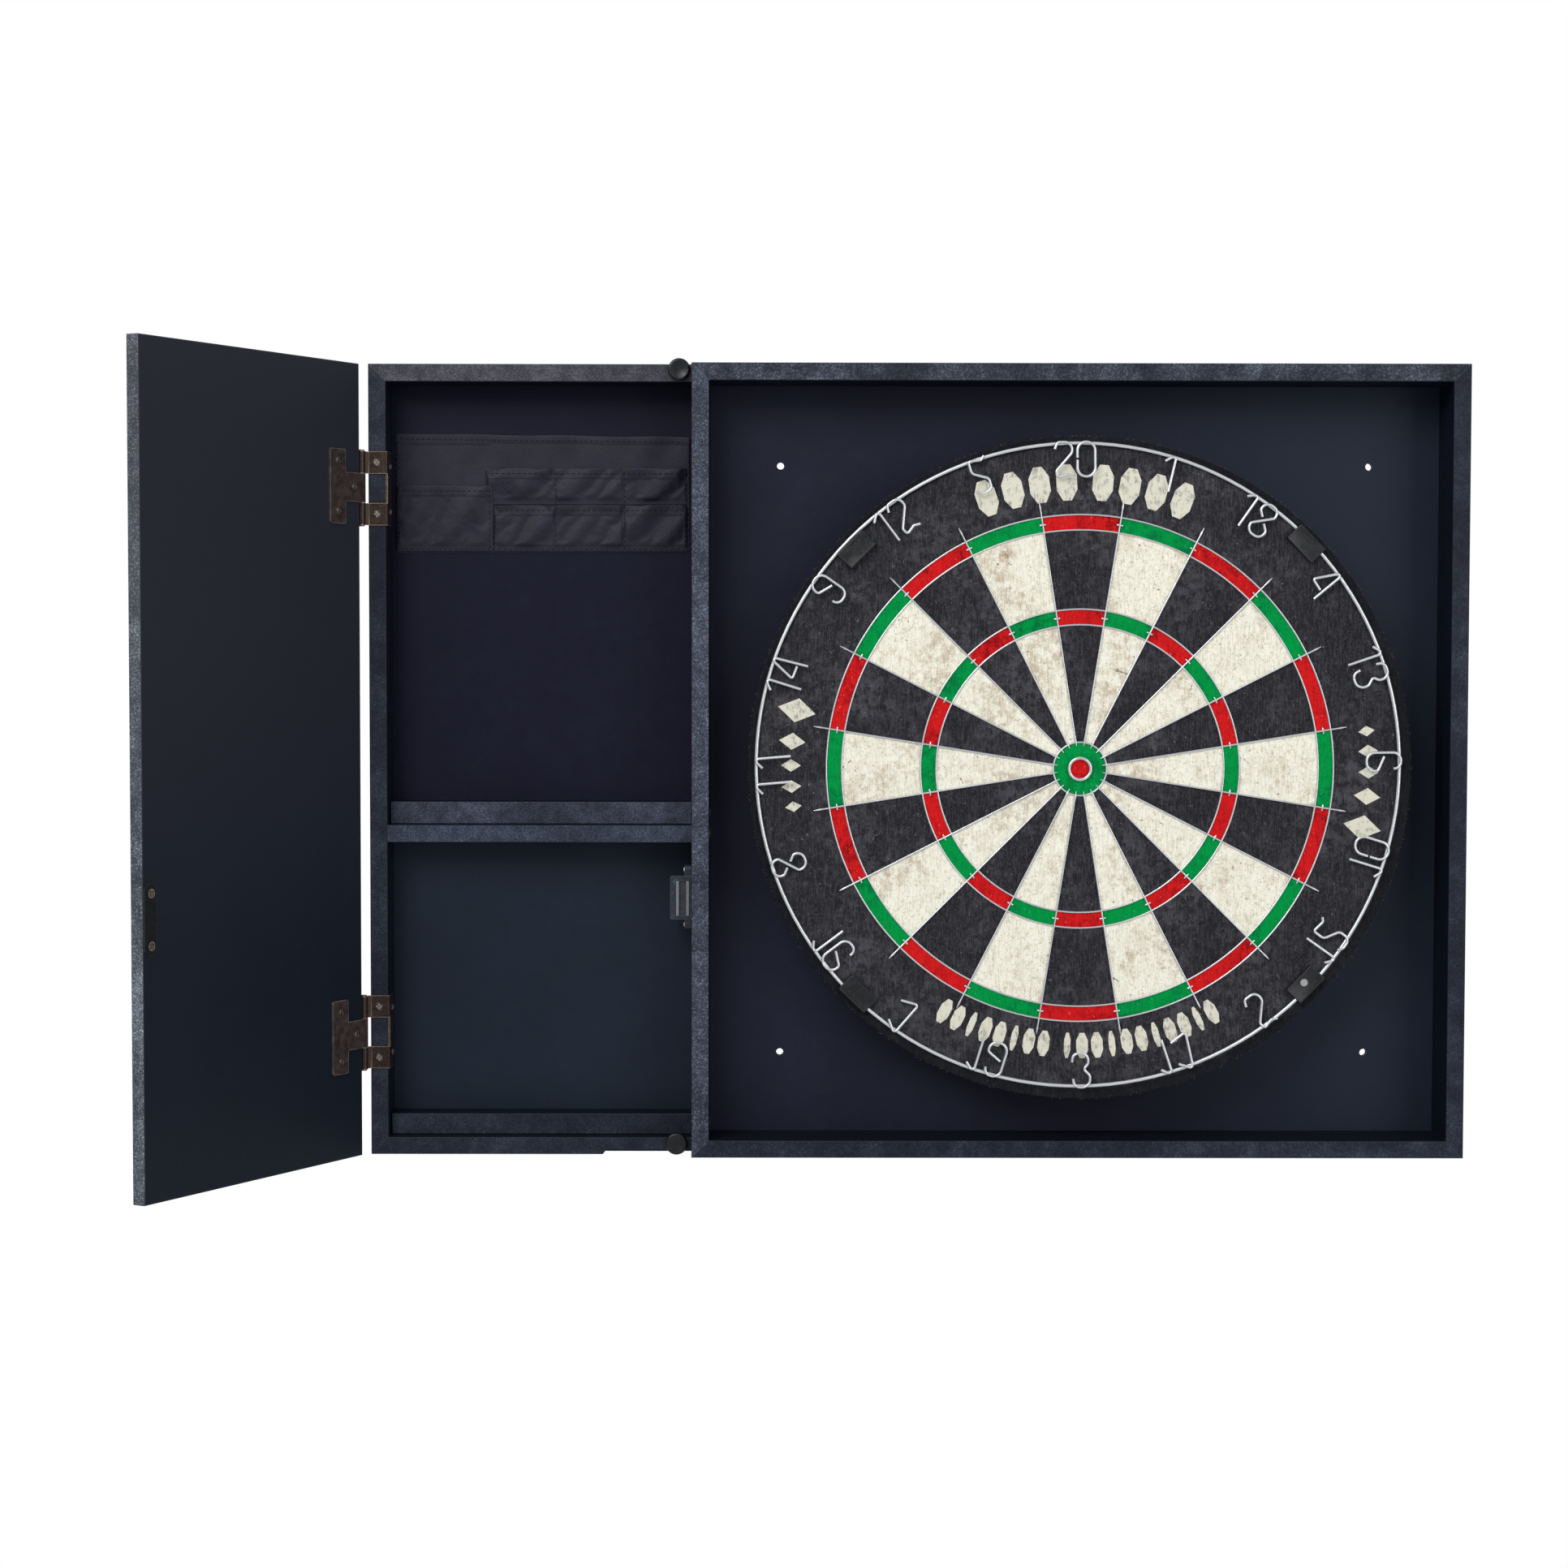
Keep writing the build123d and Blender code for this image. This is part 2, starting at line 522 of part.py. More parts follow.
dyed_back = FACE_Y + DYED_T
core_back = BACK_Y - BACKING_T
core_r = BOARD_R - BAND_T
hanger_head_back = PANEL_Y - 1.1
hanger = (disc(BOARD_X, BOARD_Z, HANGER_R, BACK_Y - HANGER_DEPTH, hanger_head_back)
          + disc(BOARD_X, BOARD_Z, HANGER_HEAD_R, hanger_head_back - HANGER_HEAD_T, hanger_head_back))
keep("hanger_screw", hanger)
keep("board_backing", disc(BOARD_X, BOARD_Z, core_r, core_back, BACK_Y) - hanger)
keep("sisal_core", disc(BOARD_X, BOARD_Z, core_r, dyed_back, core_back) - hanger)
keep("rim_band", annulus(BOARD_R, core_r, FACE_Y + 0.5, BACK_Y))
keep("outer_field", annulus(core_r, DOUBLE_OUT, FACE_Y, dyed_back))

dark_beds, light_beds, red_beds, green_beds = [], [], [], []
for index in range(SECTORS):
    singles = [bed(OUTER_BULL_R, TREBLE_IN, index), bed(TREBLE_OUT, DOUBLE_IN, index)]
    scoring = [bed(TREBLE_IN, TREBLE_OUT, index), bed(DOUBLE_IN, DOUBLE_OUT, index)]
    dark = index % 2 == 0
    (dark_beds if dark else light_beds).extend(singles)
    (red_beds if dark else green_beds).extend(scoring)
keep("black_beds", *dark_beds)
keep("cream_beds", *light_beds)
keep("red_beds", *red_beds)
keep("green_beds", *green_beds)
keep("outer_bull", annulus(OUTER_BULL_R, INNER_BULL_R, FACE_Y, dyed_back))
keep("inner_bull", disc(BOARD_X, BOARD_Z, INNER_BULL_R, FACE_Y, dyed_back))


def wire_ring(x, y, z, radius, wire_r):
    """A ring of round wire about an axis along Y."""
    return Pos(x, y, z) * Rot(90, 0, 0) * Torus(radius, wire_r)


# The rings lie flat on the sisal; the radial blades stand on the rings and are welded to them.
ring_top = FACE_Y - SPIDER_RING_T
blade_top = ring_top - SPIDER_BLADE_H
spider_rings = [annulus(radius + SPIDER_W / 2, radius - SPIDER_W / 2, ring_top, FACE_Y)
                for radius in (DOUBLE_OUT, DOUBLE_IN, TREBLE_OUT, TREBLE_IN, OUTER_BULL_R)]
keep("spider_rings", *spider_rings)
keep("bull_ring", wire_ring(BOARD_X, FACE_Y - BULL_WIRE_R, BOARD_Z, INNER_BULL_R, BULL_WIRE_R))

blade_outline = [(-SPIDER_W / 2, ring_top), (-SPIDER_W / 5, blade_top), (SPIDER_W / 5, blade_top),
                 (SPIDER_W / 2, ring_top)]
blade = section(blade_outline, RADIAL_IN, RADIAL_OUT)
blades, ties = [], []
for index in range(SECTORS):
    turn = Pos(BOARD_X, 0, BOARD_Z) * Rot(0, (index + 0.5) * SECTOR, 0)
    blades.append(turn * blade)
    for radius in ((DOUBLE_IN + DOUBLE_OUT) / 2, (TREBLE_IN + TREBLE_OUT) / 2):
        half = TIE_LENGTH / 2
        ties.append(turn * block(-half, half, ring_top, FACE_Y, radius - SPIDER_W / 2, radius + SPIDER_W / 2))
keep("spider_radials", *blades)
keep("spider_ties", *ties)


# ---- number ring: a hoop of wire with wire numerals welded to its front ----
# Each numeral is one bent wire in a frame 23 mm high, centred on the origin: corner points (right, up)
# and the bend radius at each corner between its ends.
SIX = ([(4.6, 6.6), (4.6, 11.6), (-6.2, 11.6), (-6.2, -11.6), (6.0, -11.6), (6.2, -4.0), (-3.6, 0.4)],
       [4.4, 5.4, 5.8, 5.6, 2.2])
NUMERAL_SHAPES = {
    "0": ([(-6, 1.0), (-6, 11.6), (6, 11.6), (6, -11.6), (-6, -11.6), (-6, -0.4)], [5.9, 5.9, 5.9, 5.9]),
    "1": ([(0, -12.4), (0, 13.2), (-6.6, 7.2)], [1.8]),
    "2": ([(-6.2, 7.0), (-4.4, 11.6), (5.4, 11.6), (5.4, 4.4), (-5.2, -7.6), (-4.6, -12.2), (2.2, -10.0),
           (6.4, -11.8)], [2.6, 4.9, 4.0, 1.8, 1.6, 2.0]),
    "3": ([(-6.2, 5.6), (-5.6, 11.6), (4.8, 11.6), (4.8, 4.4), (1.6, 0.8), (6, -3.6), (6, -11.6),
           (-4.6, -11.6), (-5.6, -5.8)], [4.4, 4.9, 3.6, 1.8, 3.6, 5.4, 4.4]),
    "4": ([(4.6, -12.2), (3.2, 15.4), (-6.6, -4.6), (2.4, -5.2)], [1.5, 1.2]),
    "5": ([(6.3, 12.0), (3.6, 9.8), (-4.9, 11.4), (-5.3, 3.0), (4.8, -3.4), (4.6, -11.8), (-2.8, -12.0),
           (-6.2, -9.4)], [1.2, 1.4, 4.2, 3.0, 4.2, 3.0]),
    "6": SIX,
    "7": ([(-6.2, 8.0), (5.6, 12.2), (3.0, -13.4), (-5.6, -7.2)], [1.6, 1.8]),
    "8": ([(1.7, -1.5), (5.8, -5.2), (5.8, -11.6), (-5.8, -11.6), (-5.8, -5.6), (5.6, 5.4), (5.6, 11.6),
           (-5.6, 11.6), (-5.6, 5.2), (-1.7, 1.7)], [2.4, 5.0, 5.0, 2.0, 2.0, 5.0, 5.0, 2.4]),
    "9": ([(-x, -z) for x, z in SIX[0]], SIX[1]),
}
FACE_ORDER = (20, 1, 18, 4, 13, 6, 10, 15, 2, 17, 3, 19, 7, 16, 8, 11, 14, 9, 12, 5)


def bent_wire(points, radii):
    """A round wire along a line of corners in the XZ plane, each corner bent to its own radius."""
    path = FilletPolyline(*[(x, 0, z) for x, z in points], radius=radii)
    profile = Plane(origin=path @ 0, z_dir=path % 0) * Circle(NUMERAL_WIRE_R)
    return sweep(profile, path=path)


wires = {digit: bent_wire(*shape) for digit, shape in NUMERAL_SHAPES.items()}
hooked_foot = bent_wire([(x, -z) for x, z in NUMERAL_SHAPES["1"][0]], NUMERAL_SHAPES["1"][1])


def numeral(number, index):
    """A number at its place on the hoop; those of the lower half stand with their feet outwards."""
    lower = SECTORS / 4 < index < SECTORS * 3 / 4
    angle = index * SECTOR + RING_TURN
    turn = Rot(0, angle + (180 if lower else 0), 0)
    middle = Pos(HOOP_X + NUMERAL_R * sin(radians(angle)), NUMERAL_Y, HOOP_Z + NUMERAL_R * cos(radians(angle)))
    digits = str(number)
    places = [0.0]
    if len(digits) == 2:
        spread = CLOSE_DIGITS if digits[0] == "1" else WIDE_DIGITS
        spread = PAIR_OF_ONES if number == 11 else spread
        places = [-spread / 2, spread / 2]
    placed = []
    for digit, place in zip(digits, places):
        wire = hooked_foot if digit == "1" and lower else wires[digit]
        if digit == "1" and (len(digits) == 1 or number == 11):
            wire = Rot(0, ONE_LEAN, 0) * wire
        shift = 1.6 if digit == "1" and len(digits) == 1 else 0.0
        placed.append(middle * turn * Pos(place + shift, 0, 0) * wire)
    return placed


numerals = []
for index, number in enumerate(FACE_ORDER):
    numerals.extend(numeral(number, index))
keep("number_hoop", wire_ring(HOOP_X, HOOP_Y, HOOP_Z, HOOP_R, HOOP_WIRE_R))
keep("numerals", *numerals)


# ---- clips pinned into the sisal: three reach over the hoop, and one has slid inside it ----
clip_w, clip_h, clip_d = CLIP_SIZE
hoop_groove = (disc(HOOP_X, HOOP_Z, HOOP_R + HOOP_WIRE_R + HOOP_PLAY, HOOP_Y - HOOP_WIRE_R - HOOP_PLAY, FACE_Y)
               - disc(HOOP_X, HOOP_Z, HOOP_R - HOOP_WIRE_R - HOOP_PLAY, FACE_Y - 9, FACE_Y + 1))
clips, pins = [], []
for angle, middle_r in CLIP_SEATS:
    seat = Pos(HOOP_X, FACE_Y, HOOP_Z) * Rot(0, angle, 0)
    body = block(-clip_w / 2, clip_w / 2, -clip_h, 0, middle_r - clip_d / 2, middle_r + clip_d / 2)
    body = fillet(body.edges().filter_by(Axis.Y), 1.0)
    body = fillet(body.edges().group_by(Axis.Y)[0], 0.5)
    pin_z = middle_r - CLIP_PIN_SHIFT
    head = disc(0, pin_z, CLIP_PIN_R, -clip_h - 0.3, -clip_h + 1.2)
    shank = disc(0, pin_z, 0.9, -clip_h + 1.2, DYED_T + 8)
    pin = head + shank
    clips.append(seat * (body - pin) - hoop_groove)
    pins.append(seat * pin)
keep("ring_clips", *clips)
keep("clip_pins", pins[0], pins[2], pins[3])
keep("bare_clip_pin", pins[1])
for name in ("outer_field", "sisal_core"):
    nodes[name] = less(nodes[name], pins)


# ---- what the board hangs by: a U-shaped bracket and three rear pads ----
web_back = PANEL_Y - BRACKET_RISE
web_front = web_back - BRACKET_T
foot_front = PANEL_Y - BRACKET_T
leg_x, foot_x = BRACKET_WEB_W / 2, BRACKET_W / 2
outline = [(-foot_x, PANEL_Y), (-foot_x, foot_front), (-leg_x - BRACKET_KNEE, foot_front), (-leg_x, web_front),
           (leg_x, web_front), (leg_x + BRACKET_KNEE, foot_front), (foot_x, foot_front), (foot_x, PANEL_Y),
           (leg_x + BRACKET_KNEE - 1.2, PANEL_Y), (leg_x - 1.2, web_back), (-leg_x + 1.2, web_back),
           (-leg_x - BRACKET_KNEE + 1.2, PANEL_Y)]
bracket = section(outline, BOARD_Z - BRACKET_BELOW, BOARD_Z + BRACKET_ABOVE)
slot_r = HANGER_R + SLOT_PLAY
mouth_top = BOARD_Z + BRACKET_ABOVE + 1
mouth = [(BOARD_X - slot_r, BOARD_Z), (BOARD_X + slot_r, BOARD_Z), (BOARD_X + slot_r, BOARD_Z + 6),
         (BOARD_X + 9, mouth_top), (BOARD_X - 9, mouth_top), (BOARD_X - slot_r, BOARD_Z + 6)]
bracket -= disc(BOARD_X, BOARD_Z, slot_r, web_front - 1, web_back + 1)
bracket -= prism(mouth, web_front - 1, web_back + 1)
keep("hanging_bracket", less(bracket, bracket_holes))

rear_pads = []
for angle in (0, 120, 240):
    x, _, z = on_board(PAD_CIRCLE_R, angle, 0)
    rear_pads.append(disc(x, z, PAD_R, BACK_Y, PANEL_Y - 0.2))
keep("rear_pads", *rear_pads)


# ---- write one file per node ----
os.makedirs("parts", exist_ok=True)
for name, shape in nodes.items():
    export_step(shape, f"parts/{name}.step")
print(len(nodes), "nodes written")
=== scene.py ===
"""The looks of a wall-hung dartboard cabinet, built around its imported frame.

Everything is in metres.  +Y runs into the wall, so whatever faces the room faces -Y.  The structure stays as
the frame has it; this script gives it finishes, and adds what is too fine or too soft for the frame: cloth,
stitches, wire, worn fibre, printed ornaments and staples.
"""

from __future__ import annotations

import json
import logging
import math
import random
from dataclasses import dataclass
from enum import Enum
from typing import Any, Callable, Iterable, Sequence

import bpy
from mathutils import Matrix, Vector

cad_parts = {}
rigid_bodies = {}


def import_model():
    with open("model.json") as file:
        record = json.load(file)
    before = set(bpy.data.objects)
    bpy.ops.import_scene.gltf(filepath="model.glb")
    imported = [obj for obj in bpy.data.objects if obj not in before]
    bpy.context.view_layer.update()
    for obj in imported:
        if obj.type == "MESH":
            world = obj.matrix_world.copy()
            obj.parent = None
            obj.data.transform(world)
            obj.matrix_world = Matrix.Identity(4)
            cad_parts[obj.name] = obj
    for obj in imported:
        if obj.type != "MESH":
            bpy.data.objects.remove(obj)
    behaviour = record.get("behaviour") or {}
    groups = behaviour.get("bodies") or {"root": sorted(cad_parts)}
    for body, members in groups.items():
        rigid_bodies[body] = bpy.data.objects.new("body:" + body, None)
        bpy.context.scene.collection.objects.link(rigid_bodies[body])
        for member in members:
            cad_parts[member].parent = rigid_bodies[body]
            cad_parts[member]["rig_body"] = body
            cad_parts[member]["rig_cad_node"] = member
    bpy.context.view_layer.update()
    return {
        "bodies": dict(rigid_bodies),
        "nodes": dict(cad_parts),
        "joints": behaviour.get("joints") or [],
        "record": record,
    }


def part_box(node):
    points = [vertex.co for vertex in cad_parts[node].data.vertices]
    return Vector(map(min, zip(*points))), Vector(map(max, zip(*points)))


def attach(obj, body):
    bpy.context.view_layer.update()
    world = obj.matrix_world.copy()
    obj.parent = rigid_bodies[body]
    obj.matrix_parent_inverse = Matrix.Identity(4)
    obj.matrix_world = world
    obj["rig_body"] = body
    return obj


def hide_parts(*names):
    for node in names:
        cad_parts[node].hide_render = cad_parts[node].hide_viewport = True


LOG = logging.getLogger("dart_board_cabinet")
MM = 0.001
SAME_POINT = 0.002 * MM  # points nearer than this are merged
ACROSS = (0.0, math.radians(90), 0.0)  # turns a rod's length from Z to X
AWAY = (math.radians(90), 0.0, 0.0)  # turns a rod's length from Z to Y
Colour = tuple[float, float, float]
RAW_HARDBOARD: Colour = (0.20, 0.125, 0.07)
KNOT_BROWN: Colour = (0.36, 0.22, 0.11)
# painted shade: the black fibre darkens towards this outside the number ring
SHADED_FIBRE: Colour = (0.0045, 0.0050, 0.0070)
Socket = bpy.types.NodeSocket
Piece = bpy.types.Object


class Body(Enum):
    """The rigid bodies of the frame."""

    CABINET = "cabinet"
    DOOR = "door"
    BOARD = "dartboard"
    RING = "number_ring"


# ---------------------------------------------------------------------------------------------------------
# Shader trees
# ---------------------------------------------------------------------------------------------------------


class Tree:
    """A material's node tree, with short methods for what the finishes share."""

    def __init__(self, name: str, metallic: float = 0.0, specular: float = 0.5) -> None:
        """Starts a material with one principled shader.

        Args:
            name: The material's name.
            metallic: How metallic the whole surface is.
            specular: The specular level of the whole surface.
        """
        self.material = bpy.data.materials.new(name)
        self.material.use_nodes = True
        self.tree = self.material.node_tree
        self.tree.nodes.clear()
        output = self.node("ShaderNodeOutputMaterial")
        self.shader = self.node("ShaderNodeBsdfPrincipled")
        self.shader.inputs["Metallic"].default_value = metallic
        self.shader.inputs["Specular IOR Level"].default_value = specular
        self.tree.links.new(self.shader.outputs["BSDF"], output.inputs["Surface"])
        self.coordinates = self.node("ShaderNodeTexCoord")

    def node(self, kind: str, **settings: Any) -> bpy.types.Node:
        """Adds a node.

        Args:
            kind: The node's type.
            **settings: Properties to set on it.

        Returns:
            The new node.
        """
        made = self.tree.nodes.new(kind)
        for key, value in settings.items():
            setattr(made, key, value)
        return made

    def feed(self, target: Socket, value: Socket | float | Sequence[float]) -> None:
        """Links a socket to an input, or sets the input's own value.

        Args:
            target: The input.
            value: A socket, a number, or a colour or vector.
        """
        if isinstance(value, bpy.types.NodeSocket):
            self.tree.links.new(value, target)
        elif isinstance(value, (int, float)):
            target.default_value = value
        elif len(target.default_value) == 4:
            target.default_value = (*value, 1.0)
        else:
            target.default_value = value

    def place(self, scale: Sequence[float] = (1, 1, 1), shift: Sequence[float] = (0, 0, 0)) -> Socket:
        """Object coordinates, moved and stretched.

        Args:
            scale: How many units of the pattern go to a metre along each axis.
            shift: An offset that makes one pattern differ from another.

        Returns:
            The vector socket.
        """
        mapping = self.node("ShaderNodeMapping")
        mapping.inputs["Scale"].default_value = scale
        mapping.inputs["Location"].default_value = shift
        self.feed(mapping.inputs["Vector"], self.coordinates.outputs["Object"])
        return mapping.outputs["Vector"]

    def noise(self, place: Socket, scale: float = 1.0, detail: float = 3.0, rough: float = 0.55) -> Socket:
        """Cloudy noise from 0 to 1.

        Args:
            place: Where the pattern is read.
            scale: Clouds per unit.
            detail: How many finer layers it has.
            rough: How strong the finer layers are.

        Returns:
            The value socket.
        """
        made = self.node("ShaderNodeTexNoise")
        self.feed(made.inputs["Vector"], place)
        made.inputs["Scale"].default_value = scale
        made.inputs["Detail"].default_value = detail
        made.inputs["Roughness"].default_value = rough
        return made.outputs["Fac"]

    def step(self, value: Socket, low: float, high: float, start: float = 0.0, end: float = 1.0) -> Socket:
        """A soft step of a value.

        Args:
            value: What is stepped.
            low: Where the step starts.
            high: Where it ends.
            start: The result below low.
            end: The result above high.

        Returns:
            The stepped value.
        """
        made = self.node("ShaderNodeMapRange", interpolation_type="SMOOTHSTEP")
        self.feed(made.inputs["Value"], value)
        for key, number in (("From Min", low), ("From Max", high), ("To Min", start), ("To Max", end)):
            made.inputs[key].default_value = number
        return made.outputs["Result"]

    def blend(self, share: Socket | float, first: Socket | Colour, second: Socket | Colour) -> Socket:
        """A mix of two colours.

        Args:
            share: How much of the second shows.
            first: The first colour.
            second: The second colour.

        Returns:
            The colour socket.
        """
        made = self.node("ShaderNodeMix", data_type="RGBA")
        self.feed(made.inputs["Factor"], share)
        self.feed(made.inputs[6], first)
        self.feed(made.inputs[7], second)
        return made.outputs[2]

    def sum(self, operation: str, first: Socket | float, second: Socket | float) -> Socket:
        """One step of arithmetic, such as MULTIPLY or ADD.

        Args:
            operation: The operation's name.
            first: The first value.
            second: The second value.

        Returns:
            The result, kept between 0 and 1.
        """
        made = self.node("ShaderNodeMath", operation=operation, use_clamp=True)
        self.feed(made.inputs[0], first)
        self.feed(made.inputs[1], second)
        return made.outputs[0]

    def vector(self, operation: str, first: Socket, second: Socket | Sequence[float]) -> Socket:
        """The number that a vector operation gives, such as DOT_PRODUCT or DISTANCE.

        Args:
            operation: The operation's name.
            first: The first vector.
            second: The second vector.

        Returns:
            The value socket.
        """
        made = self.node("ShaderNodeVectorMath", operation=operation)
        self.feed(made.inputs[0], first)
        self.feed(made.inputs[1], second)
        return made.outputs["Value"]

    def facing(self, direction: Sequence[float]) -> Socket:
        """How squarely the surface faces a direction, from -1 to 1."""
        return self.vector("DOT_PRODUCT", self.coordinates.outputs["Normal"], direction)

    def arris(self, radius: float) -> Socket:
        """1 on sharp edges and corners, and 0 on flat ground.

        Args:
            radius: How wide an edge counts.

        Returns:
            The value socket.
        """
        rounded = self.node("ShaderNodeBevel", samples=4)
        rounded.inputs["Radius"].default_value = radius
        geometry = self.node("ShaderNodeNewGeometry")
        agreement = self.vector("DOT_PRODUCT", rounded.outputs["Normal"], geometry.outputs["True Normal"])
        return self.step(agreement, 0.985, 0.88)

    def finish(self, colour: Socket | Colour, roughness: Socket | float) -> None:
        """Sets the shader's colour and roughness."""
        self.feed(self.shader.inputs["Base Color"], colour)
        self.feed(self.shader.inputs["Roughness"], roughness)

    def bump(self, height: Socket, depth: float, strength: float = 1.0) -> None:
        """Raises the surface by a pattern.

        Args:
            height: The pattern, from 0 to 1.
            depth: The height of 1, in metres.
            strength: How strongly it shows.
        """
        made = self.node("ShaderNodeBump")
        made.inputs["Distance"].default_value = depth
        made.inputs["Strength"].default_value = strength
        self.feed(made.inputs["Height"], height)
        self.feed(self.shader.inputs["Normal"], made.outputs["Normal"])


# ---------------------------------------------------------------------------------------------------------
# Finishes
# ---------------------------------------------------------------------------------------------------------


@dataclass(frozen=True)
class PaintedLightDrift:
    """A slow change of colour across a surface: painted light and shade, where one part of a board is lit
    more than another.
    """

    # tone: the painted light and shade colour that the surface changes towards
    tone: Colour
    along: tuple[float, float, float]
    start: float
    end: float


@dataclass(frozen=True)
class Paint:
    """Satin blue-black paint on board, rubbed pale where a cut edge takes the knocks, with painted light and
    shade that changes slowly across some boards.
    """

    name: str
    face: Colour = (0.0048, 0.0060, 0.0135)
    rubbed: Colour = (0.056, 0.068, 0.094)
    towards: tuple[float, float, float] = (0.0, -1.0, 0.0)
    wear: float = 0.5
    arris: float = 0.35
    speckle: float = 0.35
    patches: float = 0.5
    raw_back: Colour | None = None
    painted_light_drift: PaintedLightDrift | None = None

    def material(self) -> bpy.types.Material:
        """Builds the material."""
        tree = Tree(self.name, specular=0.16)
        here = tree.place()
        cloud = tree.noise(here, 9.0, 3.0)
        mottle = tree.noise(here, 110.0, 4.0, 0.68)
        speck = tree.noise(tree.place(shift=(3, 7, 1)), 1050.0, 3.0, 0.75)
        scuff = tree.noise(tree.place(shift=(8, 2, 6)), 38.0, 4.0, 0.7)
        worn = tree.step(tree.facing(self.towards), 0.75, 0.95, 0.0, self.wear)
        worn = tree.sum("MULTIPLY", worn, tree.step(cloud, 0.36, 0.62, 0.50, 1.0))
        worn = tree.sum("MULTIPLY", worn, tree.step(mottle, 0.30, 0.70, 0.50, 1.0))
        worn = tree.sum("MULTIPLY", worn, tree.step(scuff, 0.40, 0.64, 1.0 - self.patches, 1.0))
        dots = tree.sum("MULTIPLY", worn, tree.step(speck, 0.54, 0.66, 0.0, self.speckle * 1.9))
        worn = tree.sum("MULTIPLY", worn, tree.step(speck, 0.36, 0.56, 0.40, 1.0))
        plain = tree.blend(tree.step(cloud, 0.3, 0.7), self.face, tuple(1.2 * c for c in self.face))
        # painted light and shade: the colour changes slowly towards a painted lit tone on some boards and a
        # painted shaded tone on others
        if self.painted_light_drift:
            across = tree.vector("DOT_PRODUCT", tree.coordinates.outputs["Object"], self.painted_light_drift.along)
            share = tree.step(across, self.painted_light_drift.start, self.painted_light_drift.end)
            plain = tree.blend(share, plain, self.painted_light_drift.tone)
        colour = tree.blend(worn, plain, self.rubbed)
        colour = tree.blend(dots, colour, tuple(2.5 * c for c in self.rubbed))
        colour = tree.blend(tree.sum("MULTIPLY", tree.arris(1.3 * MM), self.arris), colour, self.rubbed)
        if self.raw_back:
            fibres = tree.blend(mottle, self.raw_back, tuple(0.72 * c for c in self.raw_back))
            colour = tree.blend(tree.step(tree.facing((0, 1, 0)), 0.8, 0.9), colour, fibres)
        tree.finish(colour, tree.step(mottle, 0.2, 0.8, 0.40, 0.54))
        tree.bump(speck, 0.00006, 0.55)
        return tree.material


